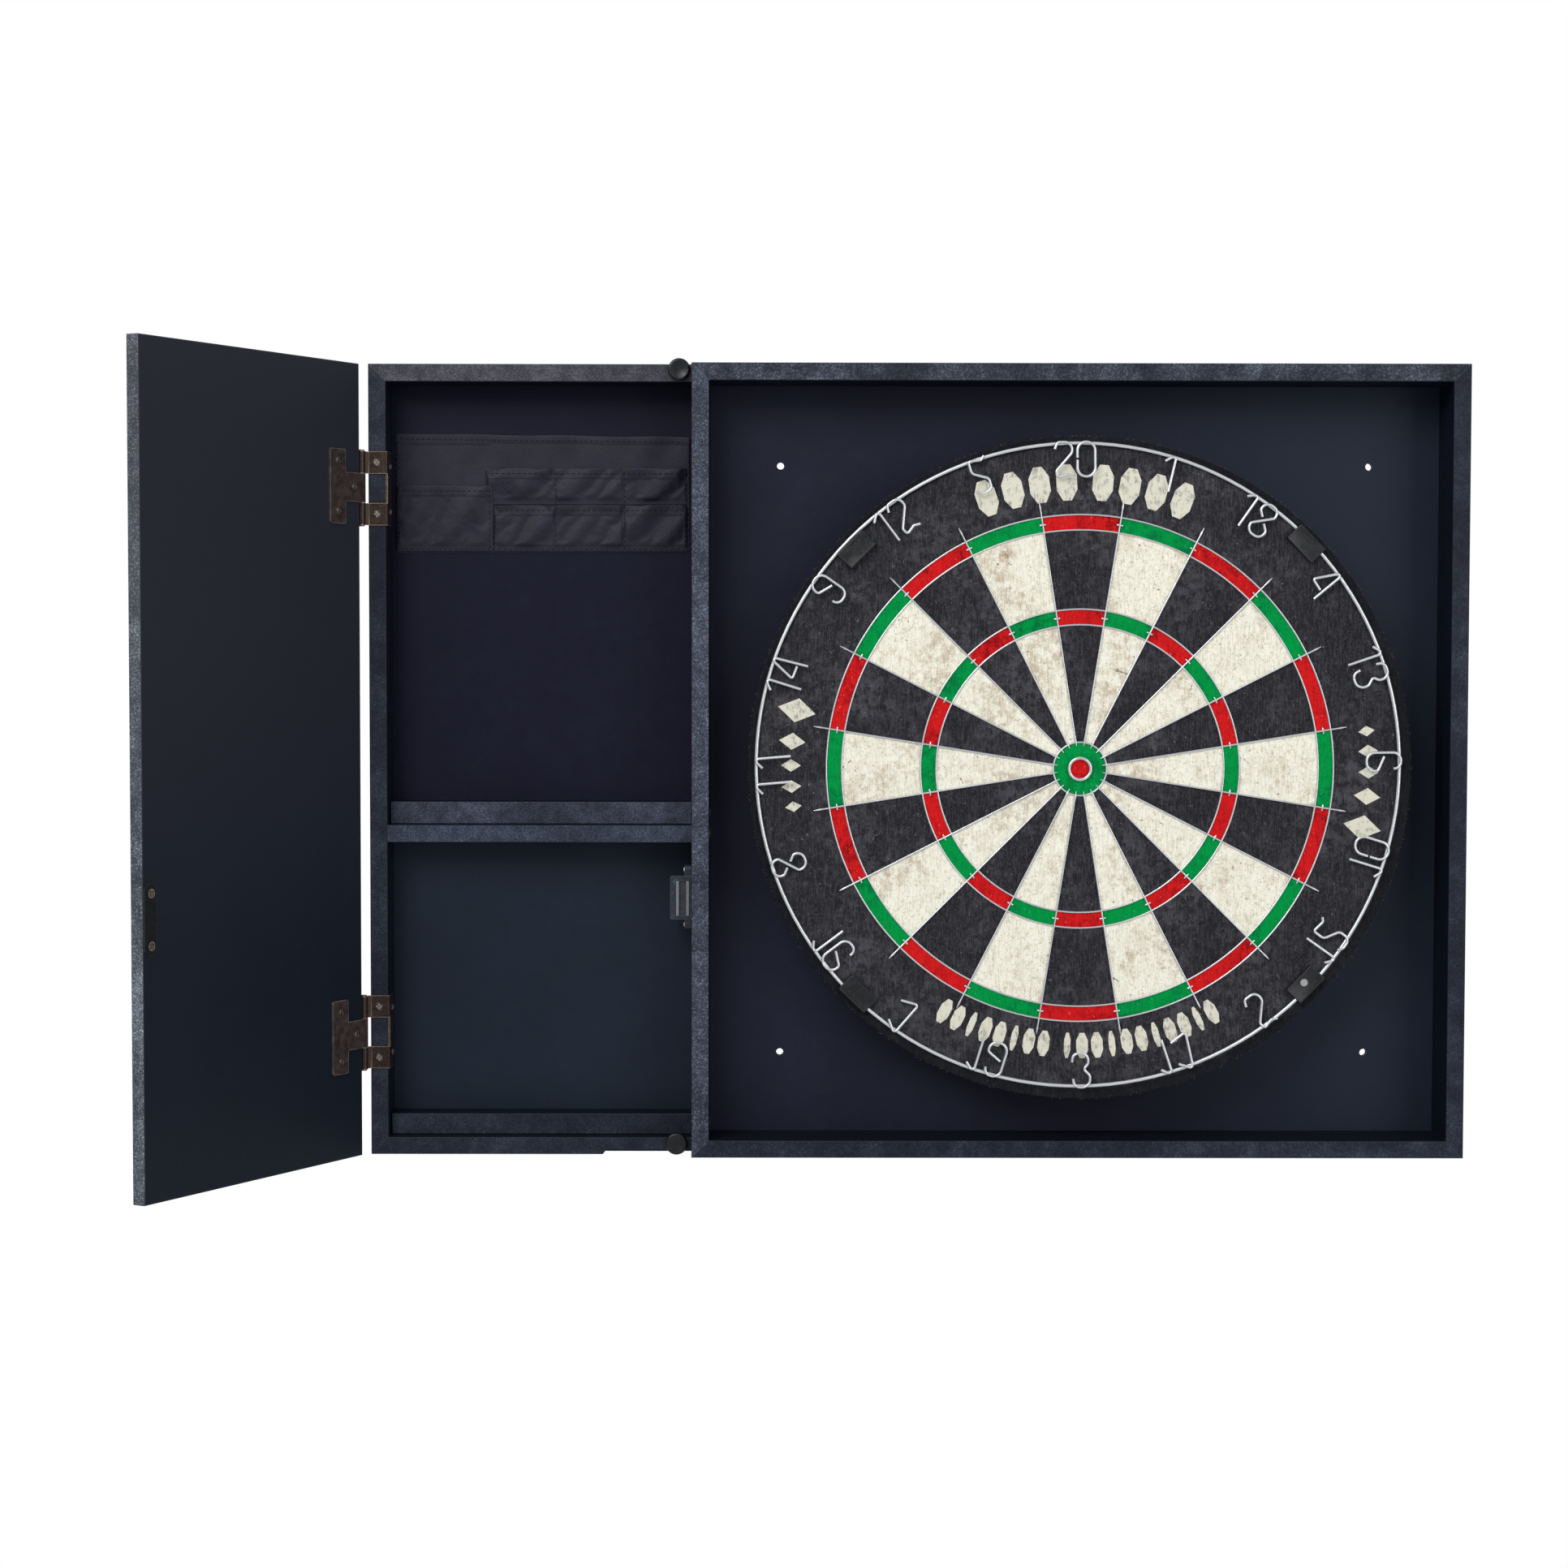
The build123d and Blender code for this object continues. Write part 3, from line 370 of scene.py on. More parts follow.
@dataclass(frozen=True)
class Sisal:
    """The cut ends of packed plant fibre, dyed or plain, with blotches, streaks and flecks."""

    name: str
    tone: Colour
    shade: Colour
    fleck: Colour
    blotches: float = 0.5
    streaks: float = 0.4
    flecks: float = 0.6
    shine: float = 0.10
    pepper: float = 0.60
    scratches: float = 0.0
    knot: tuple[float, float, float] | None = None
    painted_shade_from: tuple[float, float, float] | None = None

    def material(self) -> bpy.types.Material:
        """Builds the material."""
        tree = Tree(self.name, specular=self.shine)
        here = tree.place()
        blotch = tree.noise(tree.place(shift=(2, 0, 5)), 26.0, 5.0, 0.66)
        patch = tree.noise(here, 170.0, 5.0, 0.74)
        fibre = tree.noise(tree.place(scale=(1300, 300, 110)), 1.0, 3.0, 0.62)
        grain = tree.noise(here, 1700.0, 2.0, 0.6)
        fleck = tree.noise(tree.place(scale=(420, 420, 300), shift=(9, 4, 2)), 1.0, 3.0, 0.75)
        stained = tree.sum("MULTIPLY", tree.step(blotch, 0.40, 0.66), tree.step(patch, 0.40, 0.62))
        stained = tree.sum("MULTIPLY", stained, self.blotches)
        lines = tree.step(fibre, 0.46, 0.68, 0.0, self.streaks)
        colour = tree.blend(tree.sum("ADD", stained, lines), self.tone, self.shade)
        colour = tree.blend(tree.step(grain, 0.35, 0.65, 0.0, 0.25), colour, self.shade)
        pepper = tree.noise(tree.place(scale=(760, 500, 560), shift=(5, 1, 7)), 1.0, 4.0, 0.78)
        pepper = tree.sum("MULTIPLY", tree.step(pepper, 0.50, 0.64), tree.step(patch, 0.34, 0.56, 0.35, 1.0))
        colour = tree.blend(tree.sum("MULTIPLY", pepper, self.pepper), colour, self.shade)
        colour = tree.blend(tree.step(fleck, 0.65, 0.72, 0.0, self.flecks), colour, self.fleck)
        if self.scratches:
            colour = tree.blend(self.scratch(tree, patch), colour, self.fleck)
        if self.knot:
            colour = self.with_knot(tree, colour, fibre)
        # painted shade on the black field outside the number ring
        if self.painted_shade_from:
            colour = self.with_painted_shade_outside(tree, colour, patch)
        tree.finish(colour, 0.88)
        depth = tree.sum("ADD", tree.sum("MULTIPLY", fibre, 0.6), tree.sum("MULTIPLY", grain, 0.4))
        tree.bump(depth, 0.0006, 0.5)
        return tree.material

    def scratch(self, tree: Tree, patch: Socket) -> Socket:
        """Sparse short dark hairs that lie across the fibre.

        Args:
            tree: The material's tree.
            patch: Noise that breaks the hairs up.

        Returns:
            How strongly they show.
        """
        cells = tree.node("ShaderNodeTexVoronoi", feature="DISTANCE_TO_EDGE")
        warp = tree.place(scale=(34, 34, 52), shift=(3, 3, 3))
        tree.feed(cells.inputs["Vector"], warp)
        cells.inputs["Scale"].default_value = 1.0
        thin = tree.step(cells.outputs["Distance"], 0.020, 0.004)
        where = tree.noise(tree.place(shift=(6, 6, 1)), 70.0, 3.0, 0.7)
        thin = tree.sum("MULTIPLY", thin, tree.step(where, 0.60, 0.66))
        thin = tree.sum("MULTIPLY", thin, tree.step(patch, 0.42, 0.58))
        return tree.sum("MULTIPLY", thin, self.scratches)

    def with_painted_shade_outside(self, tree: Tree, colour: Socket, patch: Socket) -> Socket:
        """Paints shade on the fibre outside a circle.

        Args:
            tree: The material's tree.
            colour: The colour so far.
            patch: Noise that roughens the circle's line.

        Returns:
            The colour with the painted shade.
        """
        across, up, radius = self.painted_shade_from
        away = tree.vector("DISTANCE", tree.place(scale=(1, 0, 1)), (across, 0.0, up))
        outside = tree.step(away, radius, radius + 2.4 * MM, 0.0, 0.8)
        outside = tree.sum("MULTIPLY", outside, tree.step(patch, 0.2, 0.5, 0.75, 1.0))
        return tree.blend(outside, colour, SHADED_FIBRE)

    def with_knot(self, tree: Tree, colour: Socket, fibre: Socket) -> Socket:
        """Adds one brown knot in the fibre.

        Args:
            tree: The material's tree.
            colour: The colour so far.
            fibre: The streaks, which break the knot up.

        Returns:
            The colour with the knot.
        """
        away = tree.vector("DISTANCE", tree.coordinates.outputs["Object"], self.knot)
        warp = tree.noise(tree.place(shift=(1, 1, 8)), 260.0, 3.0, 0.7)
        near = tree.step(away, 7.5 * MM, 1.5 * MM, 0.0, 1.0)
        near = tree.sum("MULTIPLY", near, tree.step(warp, 0.34, 0.56))
        near = tree.sum("MULTIPLY", near, tree.step(fibre, 0.30, 0.60, 0.5, 1.0))
        return tree.blend(near, colour, KNOT_BROWN)


@dataclass(frozen=True)
class Metal:
    """Metal with a clouded surface, and edges that are lighter: partly rubbed bright, partly a painted
    highlight.
    """

    name: str
    tone: Colour
    cloud: Colour
    bright: Colour
    rough: tuple[float, float] = (0.25, 0.42)
    metallic: float = 1.0
    edges: float = 0.0
    cloud_scale: float = 500.0
    relief: float = 0.25

    def material(self) -> bpy.types.Material:
        """Builds the material."""
        tree = Tree(self.name, metallic=self.metallic)
        here = tree.place()
        cloud = tree.noise(here, self.cloud_scale, 4.0, 0.7)
        fine = tree.noise(here, 4000.0, 2.0)
        colour = tree.blend(tree.step(cloud, 0.35, 0.68), self.tone, self.cloud)
        # partly wear, partly painted highlight: the arrises are lightened towards the bright colour
        if self.edges:
            rub_and_highlight = tree.sum("MULTIPLY", tree.arris(0.7 * MM), tree.step(cloud, 0.2, 0.6, 0.5, 1.0))
            colour = tree.blend(tree.sum("MULTIPLY", rub_and_highlight, self.edges), colour, self.bright)
        tree.finish(colour, tree.step(cloud, 0.3, 0.7, *self.rough))
        tree.bump(fine, 0.00003, self.relief)
        return tree.material


@dataclass(frozen=True)
class Moulded:
    """Plastic or rubber with a fine moulded grain, and edges lightened towards the worn colour: partly wear,
    partly a painted highlight.
    """

    name: str
    tone: Colour
    worn: Colour
    rough: float = 0.4
    grain: float = 0.3
    edges: float = 0.3

    def material(self) -> bpy.types.Material:
        """Builds the material."""
        tree = Tree(self.name, specular=0.45)
        here = tree.place()
        dust = tree.noise(here, 260.0, 4.0, 0.7)
        fine = tree.noise(here, 3000.0, 2.0)
        colour = tree.blend(tree.step(dust, 0.5, 0.8, 0.0, 0.35), self.tone, self.worn)
        # partly wear, partly painted highlight: the arrises are lightened towards the worn colour
        colour = tree.blend(tree.sum("MULTIPLY", tree.arris(0.5 * MM), self.edges), colour, self.worn)
        tree.finish(colour, tree.step(dust, 0.3, 0.7, self.rough - 0.06, self.rough + 0.08))
        tree.bump(fine, 0.00004, self.grain)
        return tree.material


@dataclass(frozen=True)
class Twill:
    """Black woven cloth with a fine diagonal weave and a slight sheen."""

    name: str
    tone: Colour = (0.0042, 0.0040, 0.0100)
    lit: Colour = (0.044, 0.044, 0.088)
    pitch: float = 1.25 * MM

    def material(self) -> bpy.types.Material:
        """Builds the material."""
        tree = Tree(self.name, specular=0.30)
        tree.shader.inputs["Sheen Weight"].default_value = 0.12
        tree.shader.inputs["Sheen Roughness"].default_value = 0.35
        turns = 1.0 / self.pitch
        weave = []
        for lean in (1.0, -0.45):
            wave = tree.node("ShaderNodeTexWave", bands_direction="X", wave_profile="SIN")
            tree.feed(wave.inputs["Vector"], self.slanted(tree, lean))
            wave.inputs["Scale"].default_value = turns / 20.0 * 2.0 * math.pi
            wave.inputs["Distortion"].default_value = 0.6
            weave.append(wave.outputs["Fac"])
        crossed = tree.sum("MULTIPLY", weave[0], weave[1])
        fade = tree.noise(tree.place(), 60.0, 3.0)
        shown = tree.sum("MULTIPLY", crossed, tree.step(fade, 0.3, 0.7, 0.5, 1.0))
        tree.finish(tree.blend(shown, self.tone, self.lit), 0.50)
        tree.bump(crossed, 0.00016, 0.8)
        return tree.material

    def slanted(self, tree: Tree, lean: float) -> Socket:
        """Coordinates turned in the plane of the cloth.

        Args:
            tree: The material's tree.
            lean: How far the threads lean, as a share of 45 degrees.

        Returns:
            The vector socket.
        """
        mapping = tree.node("ShaderNodeMapping")
        mapping.inputs["Rotation"].default_value = (0.0, lean * math.radians(45), 0.0)
        tree.feed(mapping.inputs["Vector"], tree.coordinates.outputs["Object"])
        return mapping.outputs["Vector"]


@dataclass(frozen=True)
class Print:
    """Cream ink printed on the fibre, worn through in places."""

    name: str
    ink: Colour = (0.74, 0.71, 0.58)
    ground: Colour = (0.16, 0.155, 0.14)

    def material(self) -> bpy.types.Material:
        """Builds the material."""
        tree = Tree(self.name, specular=0.2)
        fibre = tree.noise(tree.place(scale=(1300, 300, 200)), 1.0, 3.0, 0.65)
        patch = tree.noise(tree.place(shift=(4, 0, 0)), 240.0, 4.0, 0.72)
        through = tree.sum("MULTIPLY", tree.step(patch, 0.46, 0.62), tree.step(fibre, 0.40, 0.6))
        tree.finish(tree.blend(tree.sum("MULTIPLY", through, 0.7), self.ink, self.ground), 0.8)
        tree.bump(fibre, 0.0003, 0.5)
        return tree.material


def paints() -> list[Paint]:
    """The blue-black paint on each kind of board, and the bare board behind the fibre."""
    return [
        Paint("paint_pale_edge", rubbed=(0.100, 0.114, 0.155), wear=1.0, speckle=0.6, patches=0.35),
        Paint("paint_edge", rubbed=(0.084, 0.100, 0.130), wear=0.95, patches=0.6, speckle=0.6),
        Paint("paint_top_edge", rubbed=(0.100, 0.100, 0.118), wear=1.0, patches=0.3, speckle=0.25),
        Paint("paint_quiet_edge", wear=0.66, speckle=0.25, arris=0.3),
        Paint("paint_dull_edge", wear=0.74, speckle=0.3, arris=0.25),
        Paint("paint_shelf", rubbed=(0.080, 0.098, 0.142), wear=1.0, speckle=0.25, arris=0.4, patches=0.25),
        Paint("paint_ledge", rubbed=(0.062, 0.074, 0.108), wear=0.62, speckle=0.25, arris=0.3, patches=0.3),
        # painted light: the surround's back panel grows lighter towards the right and a little upwards
        Paint("paint_panel", face=(0.0092, 0.0102, 0.0235), wear=0.05, arris=0.0, raw_back=RAW_HARDBOARD,
              painted_light_drift=PaintedLightDrift((0.0132, 0.0186, 0.0335), (1.0, 0.0, 0.15), -0.02, 0.24)),
        # painted shade: the storage back panel grows darker from about the shelf upwards
        Paint("paint_storage_panel", face=(0.0094, 0.0150, 0.0270), wear=0.04, arris=0.0,
              raw_back=RAW_HARDBOARD, painted_light_drift=PaintedLightDrift((0.0038, 0.0036, 0.0168), (0.0, 0.0, 1.0), -0.06, -0.02)),
        # painted light: the inside of the door grows lighter towards the top
        Paint("paint_door", face=(0.0074, 0.0118, 0.0200), rubbed=(0.21, 0.235, 0.265),
              towards=(-0.5, -0.866, 0.0), wear=0.9, arris=0.3, speckle=0.7, patches=0.3,
              painted_light_drift=PaintedLightDrift((0.0225, 0.0240, 0.0355), (0.0, 0.0, 1.0), -0.20, 0.12)),
        Paint("backing_board", face=(0.19, 0.12, 0.07), rubbed=(0.24, 0.16, 0.10), wear=0.3),
    ]


def fibres() -> list[Sisal]:
    """The natural and dyed fibre, and the rough rim."""
    low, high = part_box("inner_bull")
    middle = (low + high) / 2
    knot = low + Vector((-43.2, 0.0, 152.3)) * MM
    # the circle outside which painted shade darkens the black field
    shaded = (middle.x, middle.z, 217.0 * MM)
    rim = {"blotches": 0.8, "streaks": 0.3, "flecks": 0.6}
    dyed = {"blotches": 0.9, "streaks": 0.42, "flecks": 0.5, "shine": 0.05}
    return [
        Sisal("sisal_natural", (1.0, 0.985, 0.850), (0.54, 0.44, 0.31), (0.12, 0.08, 0.05), blotches=0.80,
              streaks=0.40, flecks=0.9, scratches=1.0, pepper=0.80, knot=tuple(knot)),
        Sisal("sisal_black", (0.0090, 0.0087, 0.0110), (0.078, 0.075, 0.086), (0.26, 0.255, 0.25),
              blotches=0.80, streaks=0.42, flecks=0.5, painted_shade_from=shaded),
        Sisal("sisal_red", (0.76, 0.014, 0.015), (0.235, 0.005, 0.008), (0.88, 0.22, 0.15), **dyed),
        Sisal("sisal_green", (0.0005, 0.335, 0.060), (0.001, 0.145, 0.042), (0.06, 0.48, 0.20), **dyed),
        Sisal("sisal_rim", (0.012, 0.012, 0.014), (0.035, 0.035, 0.036), (0.22, 0.20, 0.17), **rim),
        Sisal("sisal_rim_ends", (0.045, 0.044, 0.042), (0.16, 0.155, 0.14), (0.3, 0.29, 0.25), **rim),
    ]


def metals() -> list[Metal]:
    """The bronzed hinges, the zinc screws, the catch and the bright wire."""
    return [
        # painted light and shade: one bronze in a lighter copy for the door leaves and a darker copy for the
        # frame leaves, set by how each leaf catches the light
        Metal("door_leaf_bronze_painted_light", (0.100, 0.073, 0.066), (0.155, 0.112, 0.098), (0.80, 0.70, 0.62),
              (0.34, 0.5), metallic=0.8, edges=1.0, cloud_scale=190.0),
        Metal("frame_leaf_bronze", (0.034, 0.023, 0.019), (0.072, 0.045, 0.033), (0.66, 0.50, 0.38),
              (0.32, 0.48), metallic=0.85, edges=1.0, cloud_scale=900.0),
        Metal("pin_bronze", (0.11, 0.060, 0.044), (0.17, 0.095, 0.065), (0.6, 0.45, 0.35), (0.24, 0.38),
              metallic=0.9, edges=0.6),
        Metal("bronze_screw", (0.040, 0.030, 0.026), (0.115, 0.086, 0.072), (0.80, 0.70, 0.60), (0.28, 0.42),
              metallic=0.85, edges=1.0),
        Metal("zinc", (0.55, 0.55, 0.53), (0.42, 0.42, 0.42), (0.8, 0.8, 0.8), (0.28, 0.45), edges=0.2,
              cloud_scale=220.0),
        Metal("catch_steel", (0.30, 0.33, 0.38), (0.20, 0.22, 0.26), (0.8, 0.85, 0.9), (0.3, 0.45),
              edges=0.9),
        Metal("strike_black", (0.012, 0.013, 0.016), (0.022, 0.024, 0.028), (0.12, 0.12, 0.13), (0.3, 0.42),
              metallic=0.6, edges=0.7),
        Metal("spider_wire", (0.78, 0.79, 0.80), (0.60, 0.61, 0.63), (0.95, 0.95, 0.95), (0.22, 0.40),
              metallic=0.75),
        Metal("number_wire", (0.84, 0.85, 0.86), (0.68, 0.69, 0.71), (0.95, 0.95, 0.95), (0.24, 0.42),
              metallic=0.7),
        Metal("pin_steel", (0.50, 0.49, 0.48), (0.38, 0.37, 0.36), (0.8, 0.8, 0.8), (0.4, 0.55),
              metallic=0.9),
        Metal("magnet_grey", (0.05, 0.05, 0.055), (0.035, 0.035, 0.04), (0.1, 0.1, 0.1), (0.5, 0.65),
              metallic=0.4),
    ]


def small_parts() -> list[Moulded | Twill | Print]:
    """Plastic, rubber, felt, cloth, thread and ink."""
    return [
        # painted highlight, partly wear: the catch's edges show as pale outlines
        Moulded("catch_plastic", (0.016, 0.021, 0.031), (0.15, 0.17, 0.20), 0.42, grain=0.3, edges=0.9),
        Moulded("clip_plastic", (0.0085, 0.0085, 0.010), (0.055, 0.055, 0.06), 0.34, grain=0.25, edges=0.45),
        Moulded("bumper_rubber", (0.006, 0.006, 0.007), (0.035, 0.035, 0.037), 0.30, grain=0.15, edges=0.3),
        Moulded("felt", (0.012, 0.012, 0.012), (0.03, 0.03, 0.03), 0.9, grain=1.0, edges=0.0),
        Moulded("thread_black", (0.003, 0.003, 0.004), (0.010, 0.010, 0.012), 0.7, grain=0.4, edges=0.0),
        Twill("organizer_twill"),
        Print("cream_print"),
    ]


@dataclass(frozen=True)
class Palette:
    """Every finish on the cabinet, by the names of its own pieces."""

    made: dict[str, bpy.types.Material]

    @staticmethod
    def mix() -> "Palette":
        """Builds all the materials once."""
        finishes = (*paints(), *fibres(), *metals(), *small_parts())
        return Palette({finish.name: finish.material() for finish in finishes})

    def dress(self, piece: Piece, finish: str) -> None:
        """Gives a piece one finish all over."""
        piece.data.materials.clear()
        piece.data.materials.append(self.made[finish])


# ---------------------------------------------------------------------------------------------------------
# Modelling helpers
# ---------------------------------------------------------------------------------------------------------


def rest() -> None:
    """Leaves edit mode with nothing selected."""
    if bpy.context.object and bpy.context.object.mode != "OBJECT":
        bpy.ops.object.mode_set(mode="OBJECT")
    bpy.ops.object.select_all(action="DESELECT")


def hold(piece: Piece) -> None:
    """Makes one piece the only one selected and the active one."""
    rest()
    piece.select_set(True)
    bpy.context.view_layer.objects.active = piece


def edit(piece: Piece, test: Callable[[Vector, Vector], bool] | None = None) -> None:
    """Enters edit mode with some faces selected.

    Args:
        piece: The piece.
        test: Says of a face's centre and normal whether it is selected; without it, all are.
    """
    hold(piece)
    mesh = piece.data
    for element in (*mesh.vertices, *mesh.edges):
        element.select = False
    for face in mesh.polygons:
        face.select = test is None or test(face.center, face.normal)
    bpy.context.tool_settings.mesh_select_mode = (False, False, True)
    bpy.ops.object.mode_set(mode="EDIT")
    if test is None:
        bpy.ops.mesh.select_all(action="SELECT")


def settle(piece: Piece, name: str | None = None) -> Piece:
    """Writes a piece's place into its mesh, so that its object sits at the origin.

    Args:
        piece: The piece.
        name: A new name for it and its mesh.

    Returns:
        The same piece.
    """
    hold(piece)
    bpy.ops.object.transform_apply(location=True, rotation=True, scale=True)
    if name:
        piece.name = name
        piece.data.name = name
    return piece


def apply(piece: Piece, kind: str, **settings: Any) -> None:
    """Adds a modifier to a piece and applies it.

    Args:
        piece: The piece.
        kind: The modifier's type.
        **settings: Its settings.
    """
    hold(piece)
    modifier = piece.modifiers.new(kind.title(), kind)
    for key, value in settings.items():
        setattr(modifier, key, value)
    bpy.ops.object.modifier_apply(modifier=modifier.name)


def soften(piece: Piece, angle: float) -> None:
    """Shades a piece smooth, except across edges sharper than an angle in degrees."""
    hold(piece)
    bpy.ops.object.shade_smooth_by_angle(angle=math.radians(angle))


def mend(piece: Piece) -> None:
    """Merges doubled points and turns all faces outwards."""
    edit(piece)
    bpy.ops.mesh.remove_doubles(threshold=SAME_POINT)
    bpy.ops.mesh.normals_make_consistent(inside=False)
    rest()


def block(size: Sequence[float], place: Sequence[float] = (0.0, 0.0, 0.0)) -> Piece:
    """A plain box of a size at a place, to be shaped further."""
    rest()
    bpy.ops.mesh.primitive_cube_add(size=1.0, location=place)
    bpy.context.object.scale = size
    return settle(bpy.context.object)


def rod(sides: int, radius: float, length: float, place: Sequence[float] = (0.0, 0.0, 0.0),
        turn: Sequence[float] = (0.0, 0.0, 0.0), ends: str = "NGON") -> Piece:
    """A plain prism or cylinder, to be shaped further.

    Args:
        sides: How many sides it has.
        radius: Its radius.
        length: Its length, along Z before it is turned.
        place: Its middle.
        turn: Its rotation about X, Y and Z.
        ends: What fills its ends.

    Returns:
        The piece.
    """
    rest()
    bpy.ops.mesh.primitive_cylinder_add(
        vertices=sides, radius=radius, depth=length, end_fill_type=ends, location=place, rotation=turn)
    return settle(bpy.context.object)


def draw_out(piece: Piece, axis: str, side: int, shift: Sequence[float], size: Sequence[float],
             about: Sequence[float]) -> None:
    """Extrudes the faces at one end of a piece and resizes them.

    Args:
        piece: The piece.
        axis: The axis that the end lies along: x, y or z.
        side: 1 for the high end and -1 for the low one.
        shift: How far the end is drawn out.
        size: How much it is resized along each axis.
        about: The point that it is resized about.
    """
    edit(piece, lambda centre, normal: getattr(normal, axis) * side > 0.9)
    bpy.ops.mesh.extrude_region_move(TRANSFORM_OT_translate={"value": shift})
    bpy.ops.transform.resize(value=size, center_override=about)
    rest()


def join(pieces: Sequence[Piece], name: str) -> Piece:
    """Joins pieces into one.

    Args:
        pieces: What is joined.
        name: The result's name.

    Returns:
        The joined piece.
    """
    hold(pieces[0])
    for piece in pieces:
        piece.select_set(True)
    if len(pieces) > 1:
        bpy.ops.object.join()
    return settle(bpy.context.view_layer.objects.active, name)


def copies(pattern: Piece, places: Iterable[Matrix], name: str) -> Piece:
    """Copies a pattern to many places and joins the copies; the pattern itself goes.

    Args:
        pattern: The piece that repeats, modelled about the origin.
        places: Where each copy goes.
        name: The result's name.

    Returns:
        The joined copies.
    """
    made = []
    for place in places:
        twin = pattern.copy()
        twin.data = pattern.data.copy()
        twin.data.transform(place)
        bpy.context.scene.collection.objects.link(twin)
        made.append(twin)
    bpy.data.objects.remove(pattern)
    return join(made, name)


@dataclass
class Workshop:
    """The frame and the palette, and what every sub-assembly does with them."""

    frame: dict[str, Any]
    palette: Palette

    def node(self, name: str) -> Piece:
        """One of the frame's nodes."""
        return self.frame["nodes"][name]

    def paint(self, finish: str, *names: str) -> None:
        """Gives nodes of the frame a finish, with their shape as it is."""
        for name in names:
            self.palette.dress(self.node(name), finish)
            LOG.info("%s: finished as %s", name, finish)

    def show(self, piece: Piece, finish: str, body: Body, slot: str, *stands_for: str,
             angle: float | None = None) -> None:
        """Finishes a modelled piece and fixes it to a body of the frame.

        Args:
            piece: The piece.
            finish: The finish it gets.
            body: The body that it moves with.
            slot: The record's material slot; not used.
            *stands_for: The frame's nodes that it is shown in place of.
            angle: Edges sharper than this stay sharp, in degrees; without it, the shading stays as it is.
        """
        if angle is not None:
            soften(piece, angle)
        self.palette.dress(piece, finish)
        rest()
        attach(piece, body.value)
        if stands_for:
            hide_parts(*stands_for)
        LOG.info("%s: %d faces on %s", piece.name, len(piece.data.polygons), body.value)

    def polish(self, finish: str, body: Body, slot: str, *names: str, angle: float = 32.0) -> None:
        """Shows smooth copies in place of nodes whose rounded faces would look faceted.

        Args:
            finish: The finish they get.
            body: The body that they belong to.
            slot: The record's material slot; not used.
            *names: The nodes.
            angle: Edges sharper than this stay sharp, in degrees.
        """
        for name in names:
            twin = self.node(name).copy()
            twin.data = self.node(name).data.copy()
            bpy.context.scene.collection.objects.link(twin)
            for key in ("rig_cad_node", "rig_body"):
                del twin[key]
            twin.parent = None
            twin.name = f"{name}_smooth"
            twin.data.name = twin.name
            hold(twin)
            bpy.ops.mesh.customdata_custom_splitnormals_clear()
            edit(twin)
            bpy.ops.mesh.remove_doubles(threshold=SAME_POINT / 2)
            soften(twin, angle)
            apply(twin, "WEIGHTED_NORMAL", keep_sharp=True)
            self.show(twin, finish, body, slot, name)


# ---------------------------------------------------------------------------------------------------------
# Sub-assemblies
# ---------------------------------------------------------------------------------------------------------


@dataclass
class Carcase:
    """The surround, the storage box, and the fittings that don't move."""

    shop: Workshop

    def build(self) -> None:
        """Finishes the boards and the fixed fittings."""
        for finish, slot, *names in (
            ("paint_pale_edge", "painted_wood", "surround_left_stile"),
            ("paint_edge", "painted_wood", "surround_top_rail"),
            ("paint_dull_edge", "painted_wood", "surround_bottom_rail", "storage_left_stile"),
            ("paint_top_edge", "painted_wood", "storage_top_rail"),
            ("paint_quiet_edge", "painted_wood", "surround_right_stile", "storage_bottom_rail"),
            ("paint_shelf", "painted_wood", "storage_shelf"),
            ("paint_ledge", "painted_wood", "floor_ledge"),
            ("paint_shelf", "painted_wood", "shelf_ledge"),
            ("frame_leaf_bronze", "antique_brass", "upper_frame_leaf", "lower_frame_leaf"),
            ("pin_bronze", "antique_brass", "hinge_pins"),
            ("bronze_screw", "bronze_screws", "frame_leaf_screws"),
            ("catch_plastic", "black_plastic", "catch_housing"),
            ("bumper_rubber", "bumper_rubber", "door_bumpers"),
            ("zinc", "zinc_screws", "catch_screws", "bracket_screws", "joining_screws"),
            ("zinc", "bracket_steel", "hanging_bracket"),
        ):
            self.shop.polish(finish, Body.CABINET, slot, *names)
        self.shop.paint("paint_panel", "surround_back_panel")
        self.shop.paint("paint_storage_panel", "storage_back_panel")
        self.shop.paint("magnet_grey", "catch_magnet")
        self.shop.paint("catch_steel", "catch_pole_plates")


@dataclass
class Door:
    """The door with its leaves, screws and strike."""

    shop: Workshop

    def build(self) -> None:
        """Finishes everything that swings with the door."""
        polish = self.shop.polish
        polish("paint_door", Body.DOOR, "painted_door", "door_panel")
        polish("door_leaf_bronze_painted_light", Body.DOOR, "antique_brass", "upper_door_leaf", "lower_door_leaf")
        polish("bronze_screw", Body.DOOR, "bronze_screws", "door_leaf_screws", "strike_screws")
        polish("strike_black", Body.DOOR, "strike_metal", "strike_plate")


@dataclass
class Face:
    """Where the board's face is, read from the frame."""

    centre: Vector
    front: float
    radius: float

    @staticmethod
    def read() -> "Face":
        """Measures the board's face."""
        low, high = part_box("inner_bull")
        rim_low, rim_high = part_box("rim_band")
        middle = (low + high) / 2
        return Face(Vector((middle.x, low.y, middle.z)), low.y, (rim_high.x - rim_low.x) / 2)

    def frame_at(self, radius: float, angle: float, depth: float = 0.0) -> Matrix:
        """A place on the face for a pattern whose +Z points outwards along the radius.

        Args:
            radius: Its distance from the middle.
            angle: Clockwise from the top, in degrees.
            depth: How far it lies behind the face.

        Returns:
            The place.
        """
        turn = math.radians(angle)
        spot = self.centre + Vector((radius * math.sin(turn), depth, radius * math.cos(turn)))
        return Matrix.Translation(spot) @ Matrix.Rotation(turn, 4, "Y")


